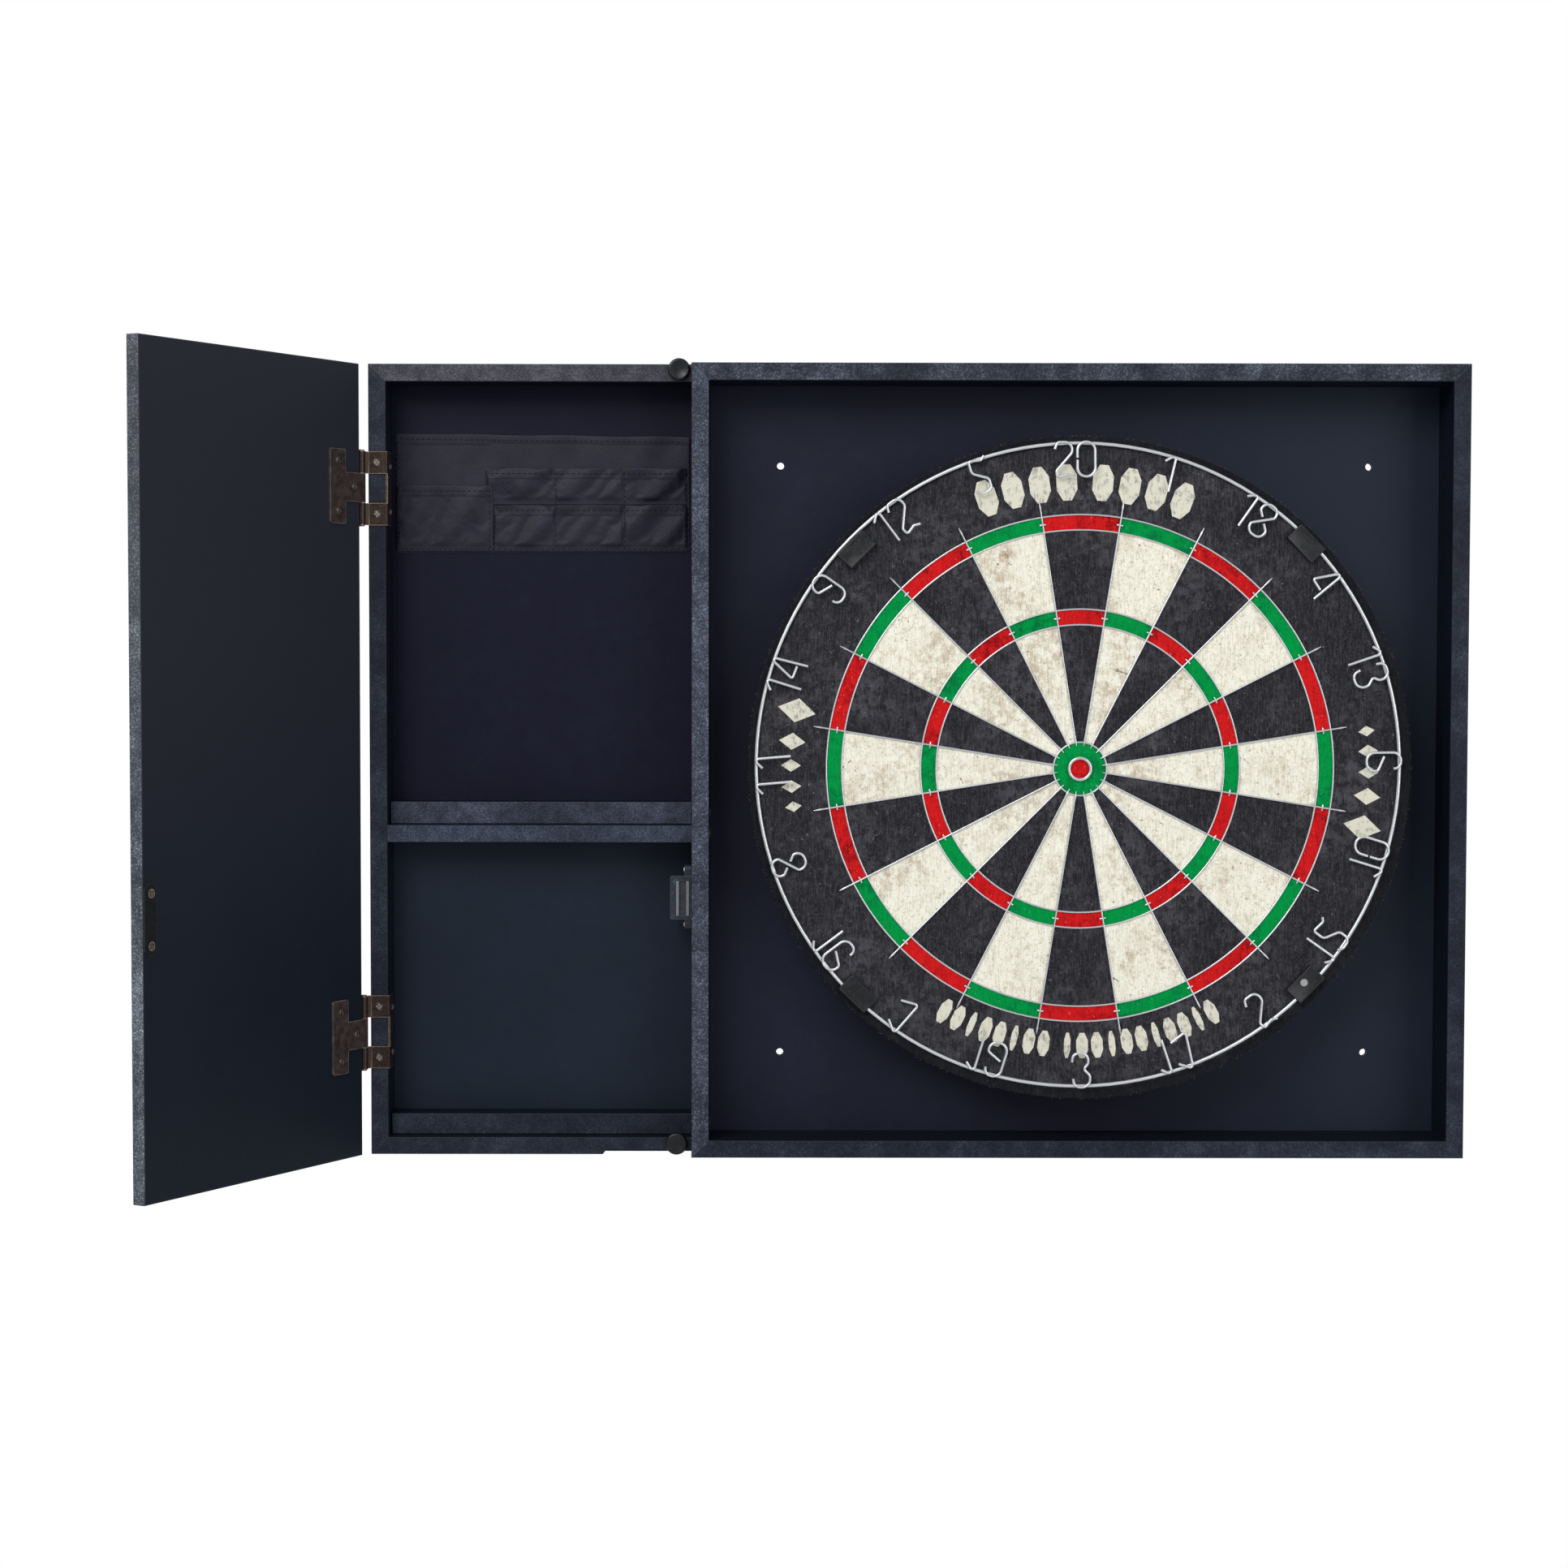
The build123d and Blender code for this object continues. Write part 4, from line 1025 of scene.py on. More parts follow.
def wire_ring(face: Face, radius: float, wire: float, lift: float, steps: int = 180) -> Piece:
    """A ring of round wire about the board's axis.

    Args:
        face: The board's face.
        radius: The radius to the wire's middle.
        wire: The wire's own radius.
        lift: How far its middle stands in front of the face.
        steps: How many pieces the circle has.

    Returns:
        The ring.
    """
    rest()
    start = face.centre + Vector((radius, -lift, 0.0))
    bpy.ops.mesh.primitive_circle_add(vertices=10, radius=wire, fill_type="NOTHING", location=start)
    ring = settle(bpy.context.object)
    hold(ring)
    bpy.ops.object.mode_set(mode="EDIT")
    bpy.ops.mesh.select_all(action="SELECT")
    bpy.ops.mesh.spin(steps=steps, angle=2 * math.pi, center=face.centre, axis=(0.0, 1.0, 0.0))
    mend(ring)
    return ring


@dataclass
class DartBoard:
    """The board itself: dyed fibre, its rough rim, and what hangs it."""

    shop: Workshop
    face: Face
    rim_steps: int = 640
    rim_rows: int = 16
    rim_fuzz: float = 0.9 * MM
    hairs: int = 1300
    lip: float = 3.2 * MM

    def build(self) -> None:
        """Finishes the beds and models the rim."""
        self.shop.paint("sisal_natural", "cream_beds", "sisal_core")
        self.shop.paint("sisal_black", "black_beds", "outer_field")
        self.shop.paint("sisal_red", "red_beds", "inner_bull")
        self.shop.paint("sisal_green", "green_beds", "outer_bull")
        self.shop.paint("backing_board", "board_backing")
        self.shop.polish("zinc", Body.BOARD, "zinc_screws", "hanger_screw")
        self.shop.polish("felt", Body.BOARD, "felt_pads", "rear_pads")
        self.rim()

    def rim(self) -> None:
        """The rough edge of the board: a band with rounded lips, roughened all over."""
        low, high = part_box("rim_band")
        depth = high.y - low.y
        middle = Vector((self.face.centre.x, (low.y + high.y) / 2, self.face.centre.z))
        radius = self.face.radius - self.rim_fuzz * 0.6
        band = settle(rod(self.rim_steps, radius, depth - 1.0 * MM, middle, AWAY, "NOTHING"), "rim_fibre")
        edit(band)
        bpy.ops.mesh.select_mode(type="EDGE")
        bpy.ops.mesh.select_all(action="DESELECT")
        rest()
        for edge in band.data.edges:
            first, second = (band.data.vertices[index].co for index in edge.vertices)
            edge.select = abs(first.y - second.y) > depth / 2
        hold(band)
        bpy.ops.object.mode_set(mode="EDIT")
        bpy.ops.mesh.subdivide(number_cuts=self.rim_rows)
        rest()
        self.round_lips(band, middle, depth)
        apply(band, "SOLIDIFY", thickness=2.0 * MM, offset=-1.0)
        clouds = bpy.data.textures.new("rim_roughness", "CLOUDS")
        clouds.noise_scale = 2.6 * MM
        clouds.noise_depth = 3
        apply(band, "DISPLACE", texture=clouds, texture_coords="LOCAL", strength=self.rim_fuzz, mid_level=0.5)
        self.shop.show(band, "sisal_rim", Body.BOARD, "band", "rim_band", angle=60.0)
        self.bristles(low.y)

    def bristles(self, front: float) -> None:
        """Loose fibre ends round the front lip of the rim.

        Args:
            front: The Y of the front of the rim.
        """
        half, tip = 0.55 * MM, 0.6 * MM
        bend = 0.15 * MM
        hair = rod(4, 0.16 * MM, 2 * half, (0.0, 0.0, half))
        draw_out(hair, "z", 1, (bend, 0.0, tip), (0.3, 0.3, 1.0), (bend, 0.0, 2 * half + tip))
        chance = random.Random(5)
        places = []
        for _ in range(self.hairs):
            angle = chance.uniform(0.0, 360.0)
            radius = self.face.radius - chance.uniform(0.4, 2.8) * MM
            depth = front - self.face.front + chance.uniform(-0.1, 2.2) * MM
            lean = Matrix.Rotation(chance.uniform(-1.3, 1.3), 4, "Y")
            rise = Matrix.Rotation(chance.uniform(-0.2, 0.5), 4, "X")
            size = Matrix.Diagonal((1.0, 1.0, chance.uniform(0.35, 1.0), 1.0))
            places.append(self.face.frame_at(radius, angle, depth) @ lean @ rise @ size)
        hairs = copies(hair, places, "rim_fibre_ends")
        self.shop.show(hairs, "sisal_rim_ends", Body.BOARD, "band")

    def round_lips(self, band: Piece, middle: Vector, depth: float) -> None:
        """Pulls the band's edges inwards along a quarter round.

        Args:
            band: The band.
            middle: The middle of the band.
            depth: The band's width.
        """
        for vertex in band.data.vertices:
            inside = depth / 2 - abs(vertex.co.y - middle.y)
            if inside < self.lip:
                fall = self.lip - math.sqrt(max(self.lip**2 - (self.lip - inside) ** 2, 0.0))
                outwards = Vector((vertex.co.x - middle.x, 0.0, vertex.co.z - middle.z)).normalized()
                vertex.co -= outwards * fall * 0.45


@dataclass
class Spider:
    """The wire web on the board's face."""

    shop: Workshop
    face: Face
    sectors: int = 20
    double_radii: tuple[float, float] = (172.0 * MM, 161.6 * MM)
    treble_radii: tuple[float, float] = (108.2 * MM, 97.6 * MM)
    bull_radius: float = 18.1 * MM
    wire: float = 0.62 * MM
    blade: float = 0.60 * MM
    tip: float = 6.0 * MM
    inner: float = 15.4 * MM
    tie: float = 3.4 * MM

    def build(self) -> None:
        """Models the rings, the blades, their bright ends and the ties."""
        self.rings()
        self.blades()
        self.ties()
        self.shop.polish("spider_wire", Body.BOARD, "spider_wire", "bull_ring", angle=60.0)

    def angles(self) -> list[float]:
        """The angles of the wires between the sectors, in degrees."""
        pitch = 360.0 / self.sectors
        return [(index + 0.5) * pitch for index in range(self.sectors)]

    def rings(self) -> None:
        """Two double wires, two treble wires and the bull wire."""
        radii = (*self.double_radii, *self.treble_radii, self.bull_radius)
        made = [wire_ring(self.face, radius, self.wire, self.wire * 0.7) for radius in radii]
        web = join(made, "spider_ring_wires")
        self.shop.show(web, "spider_wire", Body.BOARD, "spider_wire", "spider_rings", angle=60.0)

    def blades(self) -> None:
        """The radial wires: a shaft that swells and comes to a point at each end."""
        low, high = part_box("spider_radials")
        outer = (high.x - low.x) / 2 / math.cos(math.radians(9.0)) - 0.3 * MM
        shaft = outer - self.inner - 2 * self.tip
        middle = (outer + self.inner) / 2
        neck = self.tip * 0.35
        blade = rod(8, self.blade, shaft, (0.0, 0.0, middle))
        for side in (1, -1):
            end = middle + side * (shaft / 2 + neck)
            draw_out(blade, "z", side, (0, 0, side * neck), (1.35, 1.15, 1.0), (0.0, 0.0, end))
            point = side * (self.tip - neck)
            draw_out(blade, "z", side, (0, 0, point), (0.30, 0.45, 1.0), (0.0, 0.0, end + point))
        lift = Vector((0.0, -self.wire * 1.2, 0.0))
        places = [Matrix.Translation(lift) @ self.face.frame_at(0.0, angle) for angle in self.angles()]
        web = copies(blade, places, "spider_blade_wires")
        self.shop.show(web, "spider_wire", Body.BOARD, "spider_wire", "spider_radials", angle=50.0)

    def ties(self) -> None:
        """The short bars that cross each blade inside the double and treble."""
        tie = rod(8, 0.64 * MM, self.tie, turn=ACROSS)
        cap = 0.6 * MM
        for side in (1, -1):
            end = side * (self.tie / 2 + cap)
            draw_out(tie, "x", side, (side * cap, 0, 0), (1.0, 0.4, 0.4), (end, 0.0, 0.0))
        places = []
        for angle in self.angles():
            for pair in (self.double_radii, self.treble_radii):
                radius = sum(pair) / 2
                places.append(self.face.frame_at(radius, angle, -self.wire * 1.15))
        bars = copies(tie, places, "spider_tie_wires")
        self.shop.show(bars, "spider_wire", Body.BOARD, "spider_wire", "spider_ties", angle=50.0)


@dataclass
class NumberRing:
    """The hoop with its wire numerals, and the clips that hold it."""

    shop: Workshop
    face: Face
    clip_radius: float = 214.8 * MM
    loose_radius: float = 209.7 * MM
    clip_angles: tuple[float, ...] = (45.5, 133.6, 223.8)
    loose_angle: float = 314.2
    plate: tuple[float, float, float] = (23.0 * MM, 1.1 * MM, 12.5 * MM)
    rib: tuple[float, float, float] = (2.2 * MM, 0.4 * MM, 1.0 * MM)
    rib_pitch: float = 3.6 * MM
    ribs: int = 4
    border: float = 0.55 * MM

    def build(self) -> None:
        """Finishes the ring and the clips, and adds the clips' raised borders."""
        polish = self.shop.polish
        polish("number_wire", Body.RING, "number_wire", "number_hoop", "numerals", angle=60.0)
        polish("clip_plastic", Body.BOARD, "clip_plastic", "ring_clips", "clip_pins")
        polish("pin_steel", Body.BOARD, "bare_pin", "bare_clip_pin")
        self.borders()

    def borders(self) -> None:
        """A raised border and a row of ribs on each clip."""
        low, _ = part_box("ring_clips")
        hoop_low, hoop_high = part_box("number_hoop")
        middle = (hoop_low + hoop_high) / 2
        seat = Face(Vector((middle.x, low.y, middle.z)), low.y, self.face.radius)
        plate = block(self.plate, (0.0, 0.3 * MM, 0.0))
        edit(plate, lambda centre, normal: normal.y < -0.9)
        bpy.ops.mesh.inset(thickness=self.border, depth=-0.22 * MM)
        rest()
        apply(plate, "BEVEL", width=0.12 * MM, segments=2, limit_method="ANGLE")
        ribs = [plate]
        for index in range(self.ribs):
            shift = (index - (self.ribs - 1) / 2) * self.rib_pitch
            rib = block(self.rib, (shift, -0.05 * MM, 3.1 * MM))
            apply(rib, "BEVEL", width=0.18 * MM, segments=3)
            ribs.append(rib)
        pattern = join(ribs, "clip_border")
        places = [seat.frame_at(self.clip_radius, angle) for angle in self.clip_angles]
        places.append(seat.frame_at(self.loose_radius, self.loose_angle))
        borders = copies(pattern, places, "clip_borders")
        self.shop.show(borders, "clip_plastic", Body.BOARD, "clip_plastic", angle=30.0)


@dataclass
class Ornaments:
    """Plain printed shapes in the outer field: octagons, bars and lozenges, and no lettering."""

    shop: Workshop
    face: Face
    thickness: float = 0.5 * MM
    proud: float = 0.12 * MM
    top_radius: float = 193.8 * MM
    top_start: float = -19.3
    top_step: float = 5.45
    top_gap: float = 1.8
    foot_radius: float = 188.6 * MM
    foot_start: float = 208.9
    foot_step: float = 3.10
    foot_gap: float = 1.8
    side_radius: float = 196.0 * MM
    side_marks: tuple[tuple[float, float], ...] = (
        (11.6, 1.15), (5.4, 0.8), (0.6, 0.6), (-3.6, 0.6), (-7.6, 0.5))

    def build(self) -> None:
        """Prints the two arcs and the two side marks."""
        tall, narrow, bars, lozenges = [], [], [], []
        for index in range(8):
            angle = self.top_start + index * self.top_step + (self.top_gap if index > 3 else 0.0)
            tall.append(self.face.frame_at(self.top_radius, angle))
        for index in range(19):
            angle = self.foot_start - index * self.foot_step - (self.foot_gap if index > 7 else 0.0)
            chosen = bars if index % 3 == 2 else narrow
            chosen.append(self.face.frame_at(self.foot_radius, angle))
        for side in (90.0, 270.0):
            for lean, size in self.side_marks:
                smaller = Matrix.Diagonal((size, 1.0, size, 1.0))
                lozenges.append(self.face.frame_at(self.side_radius, side + lean) @ smaller)
        pieces = [
            copies(self.plate(8, 7.6, 13.2), tall, "arc_octagons"),
            copies(self.plate(8, 4.3, 9.4), narrow, "arc_narrow_octagons"),
            copies(self.plate(8, 2.4, 9.4), bars, "arc_bars"),
            copies(self.plate(4, 7.2, 11.3), lozenges, "side_lozenges"),
        ]
        prints = join(pieces, "printed_ornaments")
        self.shop.show(prints, "cream_print", Body.BOARD, "natural_sisal")

    def plate(self, corners: int, half_width: float, half_height: float) -> Piece:
        """A flat shape with softened edges, standing a hair proud of the face.

        Args:
            corners: How many corners it has.
            half_width: Half its width, in millimetres.
            half_height: Half its height, in millimetres.

        Returns:
            The shape, about the origin.
        """
        shape = rod(corners, 1.0, self.thickness / MM, turn=AWAY)
        if corners == 8:
            shape.data.transform(Matrix.Rotation(math.radians(22.5), 4, "Y"))
        shape.scale = (half_width * MM, MM, half_height * MM)
        settle(shape)
        shape.data.transform(Matrix.Translation((0.0, self.thickness / 2 - self.proud, 0.0)))
        apply(shape, "BEVEL", width=0.08 * MM, segments=1)
        return shape


@dataclass
class Organizer:
    """Black cloth with sewn pockets on the back of the upper compartment."""

    shop: Workshop
    cloth: float = 0.5 * MM
    grid: float = 1.7 * MM
    hem: float = 4.2 * MM
    stitch: float = 3.7 * MM
    tuck: float = 5.5 * MM
    slack: float = 3.4 * MM
    edge: float = 2.6 * MM
    side: float = 1.6 * MM
    over: float = 1.0 * MM
    under_hem: float = 3.4 * MM
    columns: tuple[float, ...] = (-358.6 * MM, -311.0 * MM)

    def build(self) -> None:
        """Cuts, sews and stitches the organizer."""
        low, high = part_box("organizer_backing")
        big_low, big_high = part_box("organizer_large_pocket")
        up_low, up_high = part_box("organizer_upper_pockets")
        down_low, down_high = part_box("organizer_lower_pockets")
        up_low = up_low - Vector((self.tuck, 0.0, 0.0))
        behind = high.y - 1.1 * MM
        before = behind - self.cloth
        back = self.panel("organizer_back_cloth", low, high, high.y - 0.35 * MM)
        self.ease_back(back, low, high)
        self.sew(back, "organizer_backing")
        big = self.pocket("organizer_large_pocket_cloth", big_low, big_high, before, (), 0.5)
        self.sew(big, "organizer_large_pocket")
        upper = self.pocket("organizer_upper_pocket_cloth", up_low, up_high, behind, self.columns, 1.0)
        self.sew(upper, "organizer_upper_pockets")
        lower = self.pocket("organizer_lower_pocket_cloth", down_low, down_high, before, self.columns, 1.0)
        self.sew(lower, "organizer_lower_pockets")
        edge, side = self.edge, self.side
        foot = low.z + edge
        right = up_high.x - side
        rows = up_high.z - self.over
        big_top, up_top = big_high.z - self.under_hem, up_high.z - self.under_hem
        down_top = down_high.z - 3.2 * MM
        seams = [
            ((low.x + edge, high.z - 3.6 * MM), (high.x - edge, high.z - 5.6 * MM)),
            ((low.x + edge, foot), (high.x - edge, foot)),
            ((low.x + edge * 0.6, foot), (low.x + edge * 0.6, high.z - 4.5 * MM)),
            ((big_low.x + edge, big_top), (big_high.x - 3.0 * MM, big_top)),
            ((big_high.x - 2.4 * MM, foot), (big_high.x - 2.4 * MM, big_high.z - self.over)),
            ((up_low.x + side, big_high.z + self.over), (up_low.x + side, rows)),
            ((up_low.x + edge, up_top), (right, up_top)),
            ((down_low.x + edge, down_top), (right, down_top)),
            ((right, foot), (right, rows)),
        ]
        seams += [((x, foot), (x, rows)) for x in self.columns]
        self.stitches(seams, (back, upper, lower, big))

    def panel(self, name: str, low: Vector, high: Vector, y: float) -> Piece:
        """A flat rectangle of cloth as a fine grid.

        Args:
            name: The panel's name.
            low: Its lowest corner.
            high: Its highest corner.
            y: Its plane.

        Returns:
            The panel.
        """
        rest()
        width, height = high.x - low.x, high.z - low.z
        bpy.ops.mesh.primitive_grid_add(
            x_subdivisions=round(width / self.grid), y_subdivisions=round(height / self.grid), size=1.0,
            location=((low.x + high.x) / 2, y, (low.z + high.z) / 2), rotation=(math.radians(90), 0.0, 0.0))
        cloth = bpy.context.object
        cloth.scale = (width, height, 1.0)
        return settle(cloth, name)

    def ease_back(self, cloth: Piece, low: Vector, high: Vector) -> None:
        """Lets the backing's top edge fall a little towards the right, with slight pulls.

        Args:
            cloth: The backing.
            low: Its lowest corner.
            high: Its highest corner.
        """
        for vertex in cloth.data.vertices:
            share = (vertex.co.x - low.x) / (high.x - low.x)
            height = (vertex.co.z - low.z) / (high.z - low.z)
            pull = math.sin(share * 23.0 + height * 6.0) + 0.6 * math.sin(share * 41.0 - height * 9.0)
            vertex.co.z -= height * (2.2 * share + 0.25 * math.sin(share * 19.0)) * MM
            vertex.co.y -= 0.45 * MM * (1.3 + pull) * height * (0.35 + share)

    def pocket(self, name: str, low: Vector, high: Vector, y: float, columns: Sequence[float],
               ease: float) -> Piece:
        """A pocket panel that bellies out in folds between its seams.

        Args:
            name: The panel's name.
            low: The lowest corner of the frame's pocket.
            high: Its highest corner.
            y: The plane of the seams.
            columns: Where upright seams divide it.
            ease: How slack it is, from 0 to 1.

        Returns:
            The panel.
        """
        cloth = self.panel(name, low, high, y)
        seams = [low.x, *columns, high.x]
        reach = self.grid * 0.6
        pinned = [
            vertex.index
            for vertex in cloth.data.vertices
            if vertex.co.z < low.z + self.hem or any(abs(vertex.co.x - x) < reach for x in seams)
        ]
        self.billow(cloth, pinned, ease)
        for vertex in cloth.data.vertices:
            out = min(abs(y - vertex.co.y), self.slack)
            vertex.co.y = y - out
            vertex.co.x = min(max(vertex.co.x, low.x), high.x)
            vertex.co.z = min(vertex.co.z, high.z + 0.5 * MM)
        return cloth

    def billow(self, cloth: Piece, pinned: list[int], ease: float) -> None:
        """Runs a short cloth simulation, at an enlarged scale, with the seams held.

        Args:
            cloth: The panel.
            pinned: The points that are sewn down.
            ease: How slack it is, from 0 to 1.
        """
        enlarged = 20.0
        held = set(pinned)
        for vertex in cloth.data.vertices:
            if vertex.index not in held:
                slant = vertex.co.z * 0.8 - vertex.co.x
                ripple = 1.2 + math.sin(slant * 205.0) + 0.7 * math.sin(slant * 118.0)
                vertex.co.y -= 0.7 * MM * ease * ripple
        cloth.data.transform(Matrix.Scale(enlarged, 4))
        seams = cloth.vertex_groups.new(name="seams")
        seams.add(pinned, 1.0, "REPLACE")
        hold(cloth)
        modifier = cloth.modifiers.new("Cloth", "CLOTH")
        settings = modifier.settings
        settings.vertex_group_mass = "seams"
        settings.quality = 8
        settings.mass = 0.05
        settings.shrink_min = -0.024 * ease
        settings.tension_stiffness = 25.0
        settings.compression_stiffness = 25.0
        settings.shear_stiffness = 12.0
        settings.bending_stiffness = 0.6
        settings.air_damping = 2.0
        settings.effector_weights.gravity = 0.0
        modifier.collision_settings.use_collision = False
        modifier.point_cache.frame_start = 1
        modifier.point_cache.frame_end = 26
        for frame in range(1, 27):
            bpy.context.scene.frame_set(frame)
        bpy.ops.object.modifier_apply(modifier=modifier.name)
        bpy.context.scene.frame_set(1)
        cloth.vertex_groups.clear()
        cloth.data.transform(Matrix.Scale(1.0 / enlarged, 4))

    def sew(self, cloth: Piece, stands_for: str) -> None:
        """Turns the top hem, gives the panel its thickness and fixes it in place.

        Args:
            cloth: The panel.
            stands_for: The frame's node that it is shown in place of.
        """
        top = max(vertex.co.z for vertex in cloth.data.vertices)
        edit(cloth, lambda centre, normal: centre.z > top - self.hem - 2.4 * MM)
        bpy.ops.mesh.extrude_region_move(TRANSFORM_OT_translate={"value": (0.0, -0.25 * MM, 0.0)})
        rest()
        apply(cloth, "SOLIDIFY", thickness=self.cloth, offset=0.0)
        apply(cloth, "SUBSURF", levels=1, render_levels=1)
        self.shop.show(cloth, "organizer_twill", Body.CABINET, "organizer_cloth", stands_for, angle=50.0)

    def stitches(self, seams: Sequence[tuple[tuple[float, float], tuple[float, float]]],
                 cloths: Sequence[Piece]) -> None:
        """Lays the running stitches along every seam, on whatever cloth is in front there.

        Args:
            seams: The start and end of each seam, seen from the front.
            cloths: The panels.
        """
        chance = random.Random(11)
        places = []
        for (x0, z0), (x1, z1) in seams:
            run = Vector((x1 - x0, 0.0, z1 - z0))
            count = max(int(run.length / self.stitch), 1)
            turn = Matrix.Rotation(math.atan2(run.x, run.z), 4, "Y")
            for index in range(count):
                spot = Vector((x0, 0.0, z0)) + run * ((index + 0.5) / count)
                spot.y = self.front_of(cloths, spot) - 0.05 * MM
                lean = Matrix.Rotation(chance.uniform(-0.09, 0.09), 4, "Y")
                places.append(Matrix.Translation(spot) @ turn @ lean)
        thread = copies(self.one_stitch(), places, "organizer_stitches")
        self.shop.show(thread, "thread_black", Body.CABINET, "organizer_cloth", angle=60.0)

    def front_of(self, cloths: Sequence[Piece], spot: Vector) -> float:
        """How far forward the foremost cloth lies at a place.

        Args:
            cloths: The panels.
            spot: The place, seen from the front.

        Returns:
            The Y of its surface.
        """
        start = Vector((spot.x, -0.2, spot.z))
        hits = [cloth.ray_cast(start, Vector((0.0, 1.0, 0.0))) for cloth in cloths]
        return min([place.y for found, place, _, _ in hits if found] + [0.0])

    def one_stitch(self) -> Piece:
        """A short thread that dips into the cloth at both ends."""
        length, dip, end = 1.7 * MM, 0.25 * MM, 0.4 * MM
        thread = rod(6, 0.34 * MM, length)
        for side in (1, -1):
            about = (0.0, dip, side * 1.2 * MM)
            draw_out(thread, "z", side, (0.0, dip, side * end), (0.6, 0.6, 1.0), about)
        return thread


@dataclass
class Staples:
    """The wire staples that hold the thin panels from behind."""

    shop: Workshop
    inset: float = 6.0 * MM
    pitch: float = 86.0 * MM
    crown: tuple[float, float, float] = (9.0 * MM, 0.5 * MM, 1.1 * MM)

    def build(self) -> None:
        """Staples each panel along its sides."""
        places: list[Matrix] = []
        for panel in ("surround_back_panel", "storage_back_panel"):
            places += self.round_the(panel)
        staples = copies(self.one_staple(), places, "panel_staples")
        self.shop.show(staples, "zinc", Body.CABINET, "zinc_screws", angle=40.0)

    def round_the(self, panel: str) -> list[Matrix]:
        """Places along the four edges of a panel's back.

        Args:
            panel: The panel's node.

        Returns:
            One place for each staple.
        """
        low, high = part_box(panel)
        places = []
        width, height = high.x - low.x, high.z - low.z
        across, up = round(width / self.pitch), round(height / self.pitch)
        for index in range(across):
            x = low.x + width * (index + 0.5) / across
            for z in (low.z + self.inset, high.z - self.inset):
                places.append(Matrix.Translation((x, high.y, z)))
        upright = Matrix.Rotation(math.radians(90), 4, "Y")
        for index in range(up):
            z = low.z + height * (index + 0.5) / up
            for x in (low.x + self.inset, high.x - self.inset):
                places.append(Matrix.Translation((x, high.y, z)) @ upright)
        return places

    def one_staple(self) -> Piece:
        """A crown of flat wire whose ends turn into the board."""
        crown = block(self.crown)
        for side in (1, -1):
            turn_in = (side * 0.8 * MM, -0.5 * MM, 0.0)
            draw_out(crown, "x", side, turn_in, (0.5, 1.0, 1.0), (side * 5.3 * MM, 0.0, 0.0))
        apply(crown, "BEVEL", width=0.14 * MM, segments=2)
        return crown


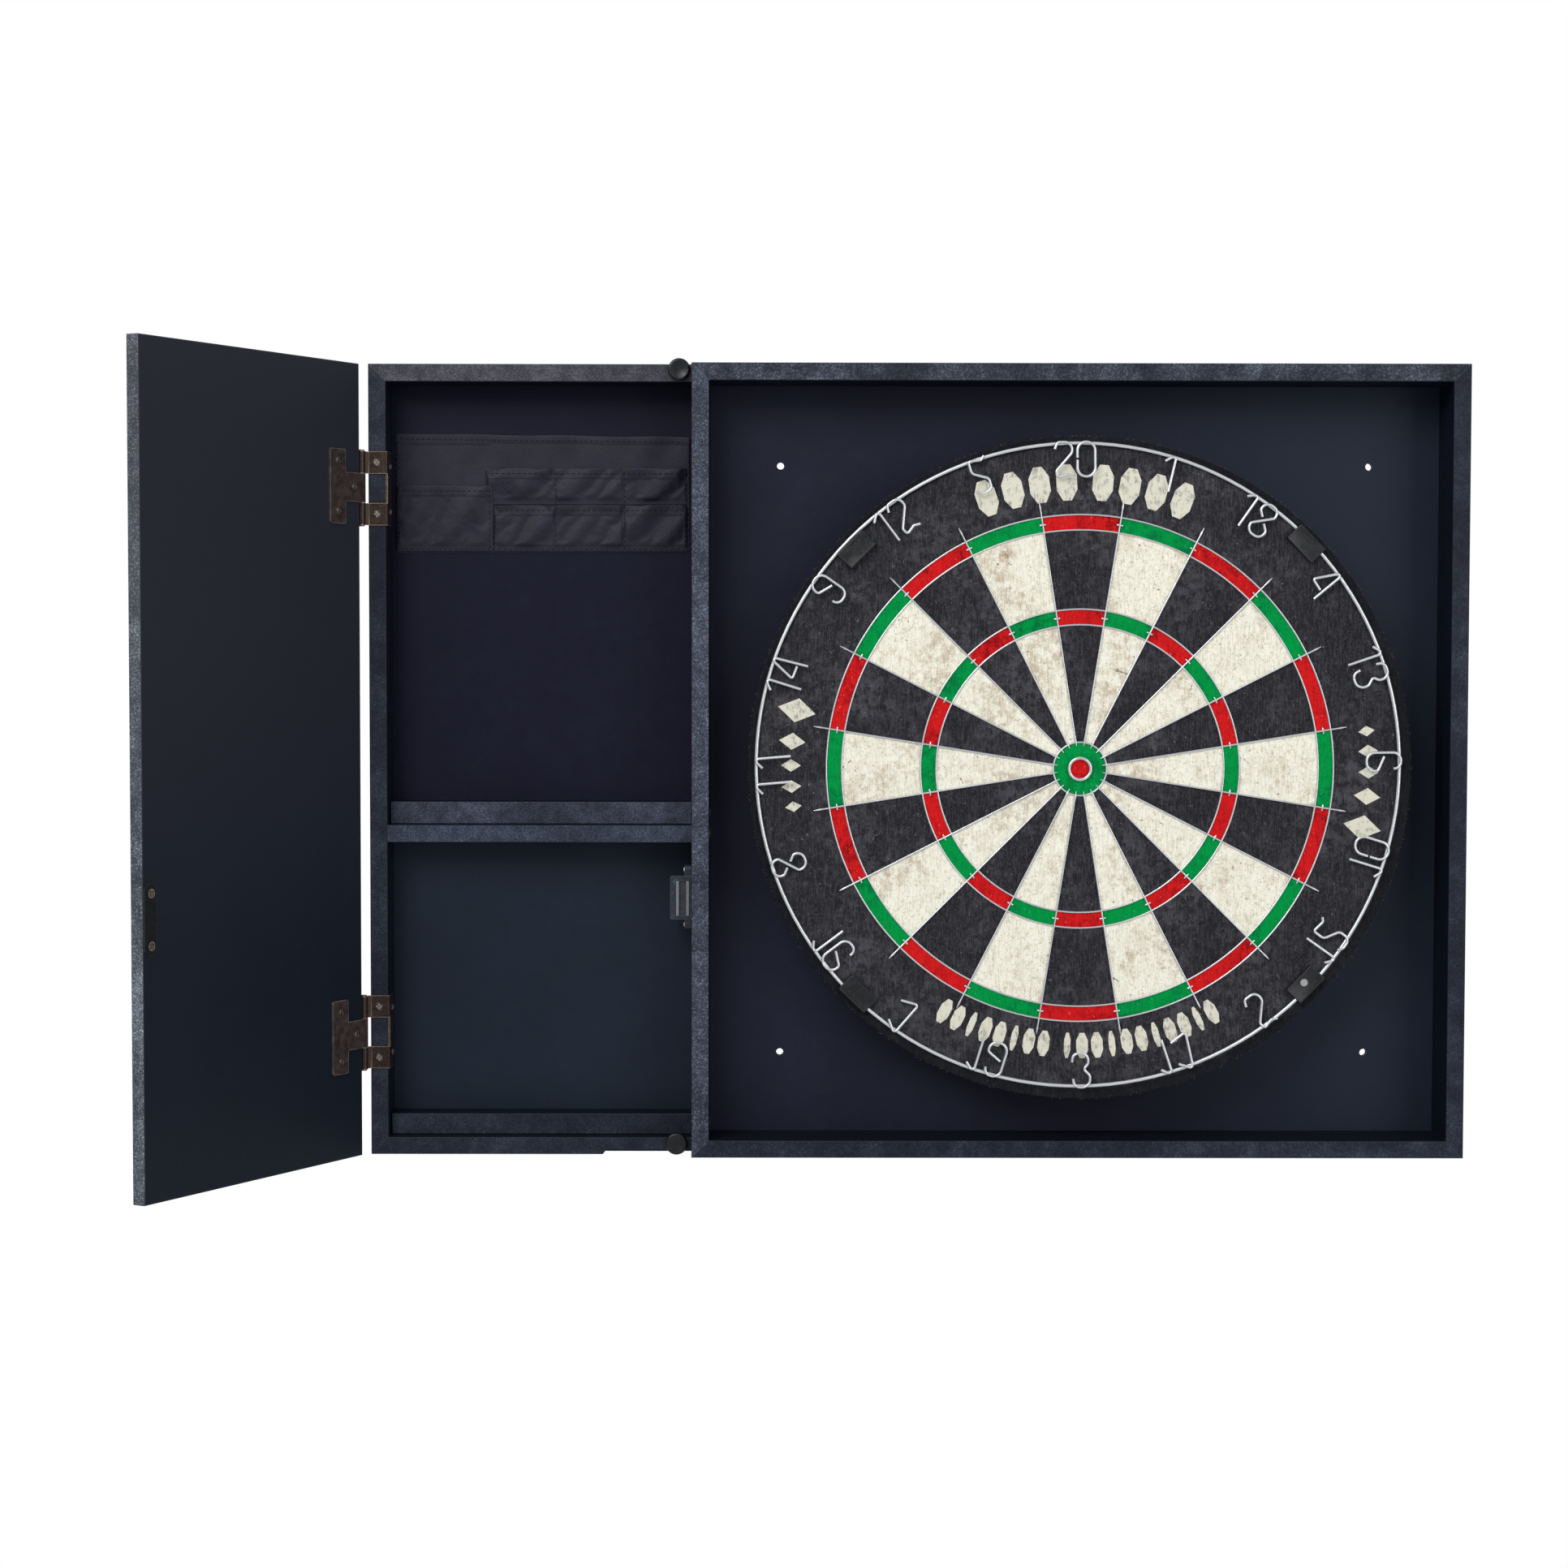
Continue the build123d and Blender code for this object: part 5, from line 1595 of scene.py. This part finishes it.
@dataclass
class Studio:
    """A pale floor, soft light, a bright surround and the camera."""

    bull_height: float = 1.73
    floor_size: float = 6.0
    air_glow: float = 0.42
    air_tint: tuple[float, ...] = (0.90, 0.95, 1.0, 1.0)
    aim: tuple[float, float, float] = (-0.1, 0.0, 0.0)
    eye: tuple[float, float, float] = (-0.20865, -2.05355, 0.07323)
    yaw_pitch_roll: tuple[float, float, float] = (-0.229, -2.510, -0.090)
    lens: float = 67.86

    def build(self) -> None:
        """Sets everything round the object."""
        self.floor()
        self.air()
        self.lamp("key_light", (-1.5, -2.3, 1.7), (2.0, 1.6), 58.0)
        self.lamp("fill_light", (1.9, -2.4, 0.5), (1.6, 2.0), 26.0)
        self.camera()

    def floor(self) -> None:
        """The floor, at the height of a board hung by the rules."""
        rest()
        low = -self.bull_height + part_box("inner_bull")[0].z
        bpy.ops.mesh.primitive_plane_add(size=self.floor_size, location=(0.0, 0.0, low))
        ground = settle(bpy.context.object, "studio_floor")
        tree = Tree("floor_pale", specular=0.2)
        speck = tree.noise(tree.place(), 40.0, 3.0)
        tree.finish(tree.blend(speck, (0.80, 0.80, 0.80), (0.84, 0.84, 0.84)), 0.8)
        ground.data.materials.append(tree.material)

    def air(self) -> None:
        """A white background that lights the object with less than its full strength."""
        world = bpy.data.worlds.new("studio_air")
        bpy.context.scene.world = world
        world.use_nodes = True
        nodes, links = world.node_tree.nodes, world.node_tree.links
        nodes.clear()
        path = nodes.new("ShaderNodeLightPath")
        seen = nodes.new("ShaderNodeBackground")
        felt = nodes.new("ShaderNodeBackground")
        white = (1.0, 1.0, 1.0, 1.0)
        for light, strength, tint in ((seen, 1.0, white), (felt, self.air_glow, self.air_tint)):
            light.inputs["Strength"].default_value = strength
            light.inputs["Color"].default_value = tint
        mixed = nodes.new("ShaderNodeMixShader")
        output = nodes.new("ShaderNodeOutputWorld")
        links.new(path.outputs["Is Camera Ray"], mixed.inputs[0])
        links.new(felt.outputs[0], mixed.inputs[1])
        links.new(seen.outputs[0], mixed.inputs[2])
        links.new(mixed.outputs[0], output.inputs["Surface"])

    def lamp(self, name: str, place: Sequence[float], size: tuple[float, float], power: float) -> None:
        """A soft rectangular lamp that looks at the middle of the object.

        Args:
            name: The lamp's name.
            place: Where it stands.
            size: Its width and height.
            power: Its power in watts.
        """
        data = bpy.data.lights.new(name, "AREA")
        data.shape = "RECTANGLE"
        data.size, data.size_y = size
        data.energy = power
        lamp = bpy.data.objects.new(name, data)
        bpy.context.scene.collection.objects.link(lamp)
        lamp.location = place
        aim = Vector(self.aim) - lamp.location
        lamp.rotation_euler = aim.to_track_quat("-Z", "Y").to_euler()

    def camera(self) -> None:
        """A long lens that looks slightly down at the cabinet from its left half."""
        data = bpy.data.cameras.new("front_camera")
        data.lens = self.lens
        data.sensor_width = 36.0
        camera = bpy.data.objects.new("front_camera", data)
        bpy.context.scene.collection.objects.link(camera)
        yaw, pitch, roll = (math.radians(angle) for angle in self.yaw_pitch_roll)
        turn = Matrix.Rotation(yaw, 4, "Z") @ Matrix.Rotation(math.radians(90) + pitch, 4, "X")
        turn = turn @ Matrix.Rotation(-roll, 4, "Z")
        camera.matrix_world = Matrix.Translation(self.eye) @ turn
        bpy.context.scene.camera = camera
        bpy.context.scene.view_settings.view_transform = "Standard"


def main() -> None:
    """Loads the frame, then builds each sub-assembly in order."""
    logging.basicConfig(level=logging.INFO, format="%(message)s")
    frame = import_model()
    shop = Workshop(frame, Palette.mix())
    face = Face.read()
    Carcase(shop).build()
    Door(shop).build()
    DartBoard(shop, face).build()
    Spider(shop, face).build()
    NumberRing(shop, face).build()
    Ornaments(shop, face).build()
    Organizer(shop).build()
    Staples(shop).build()
    Studio().build()
    rest()


if __name__ == "__main__":
    main()
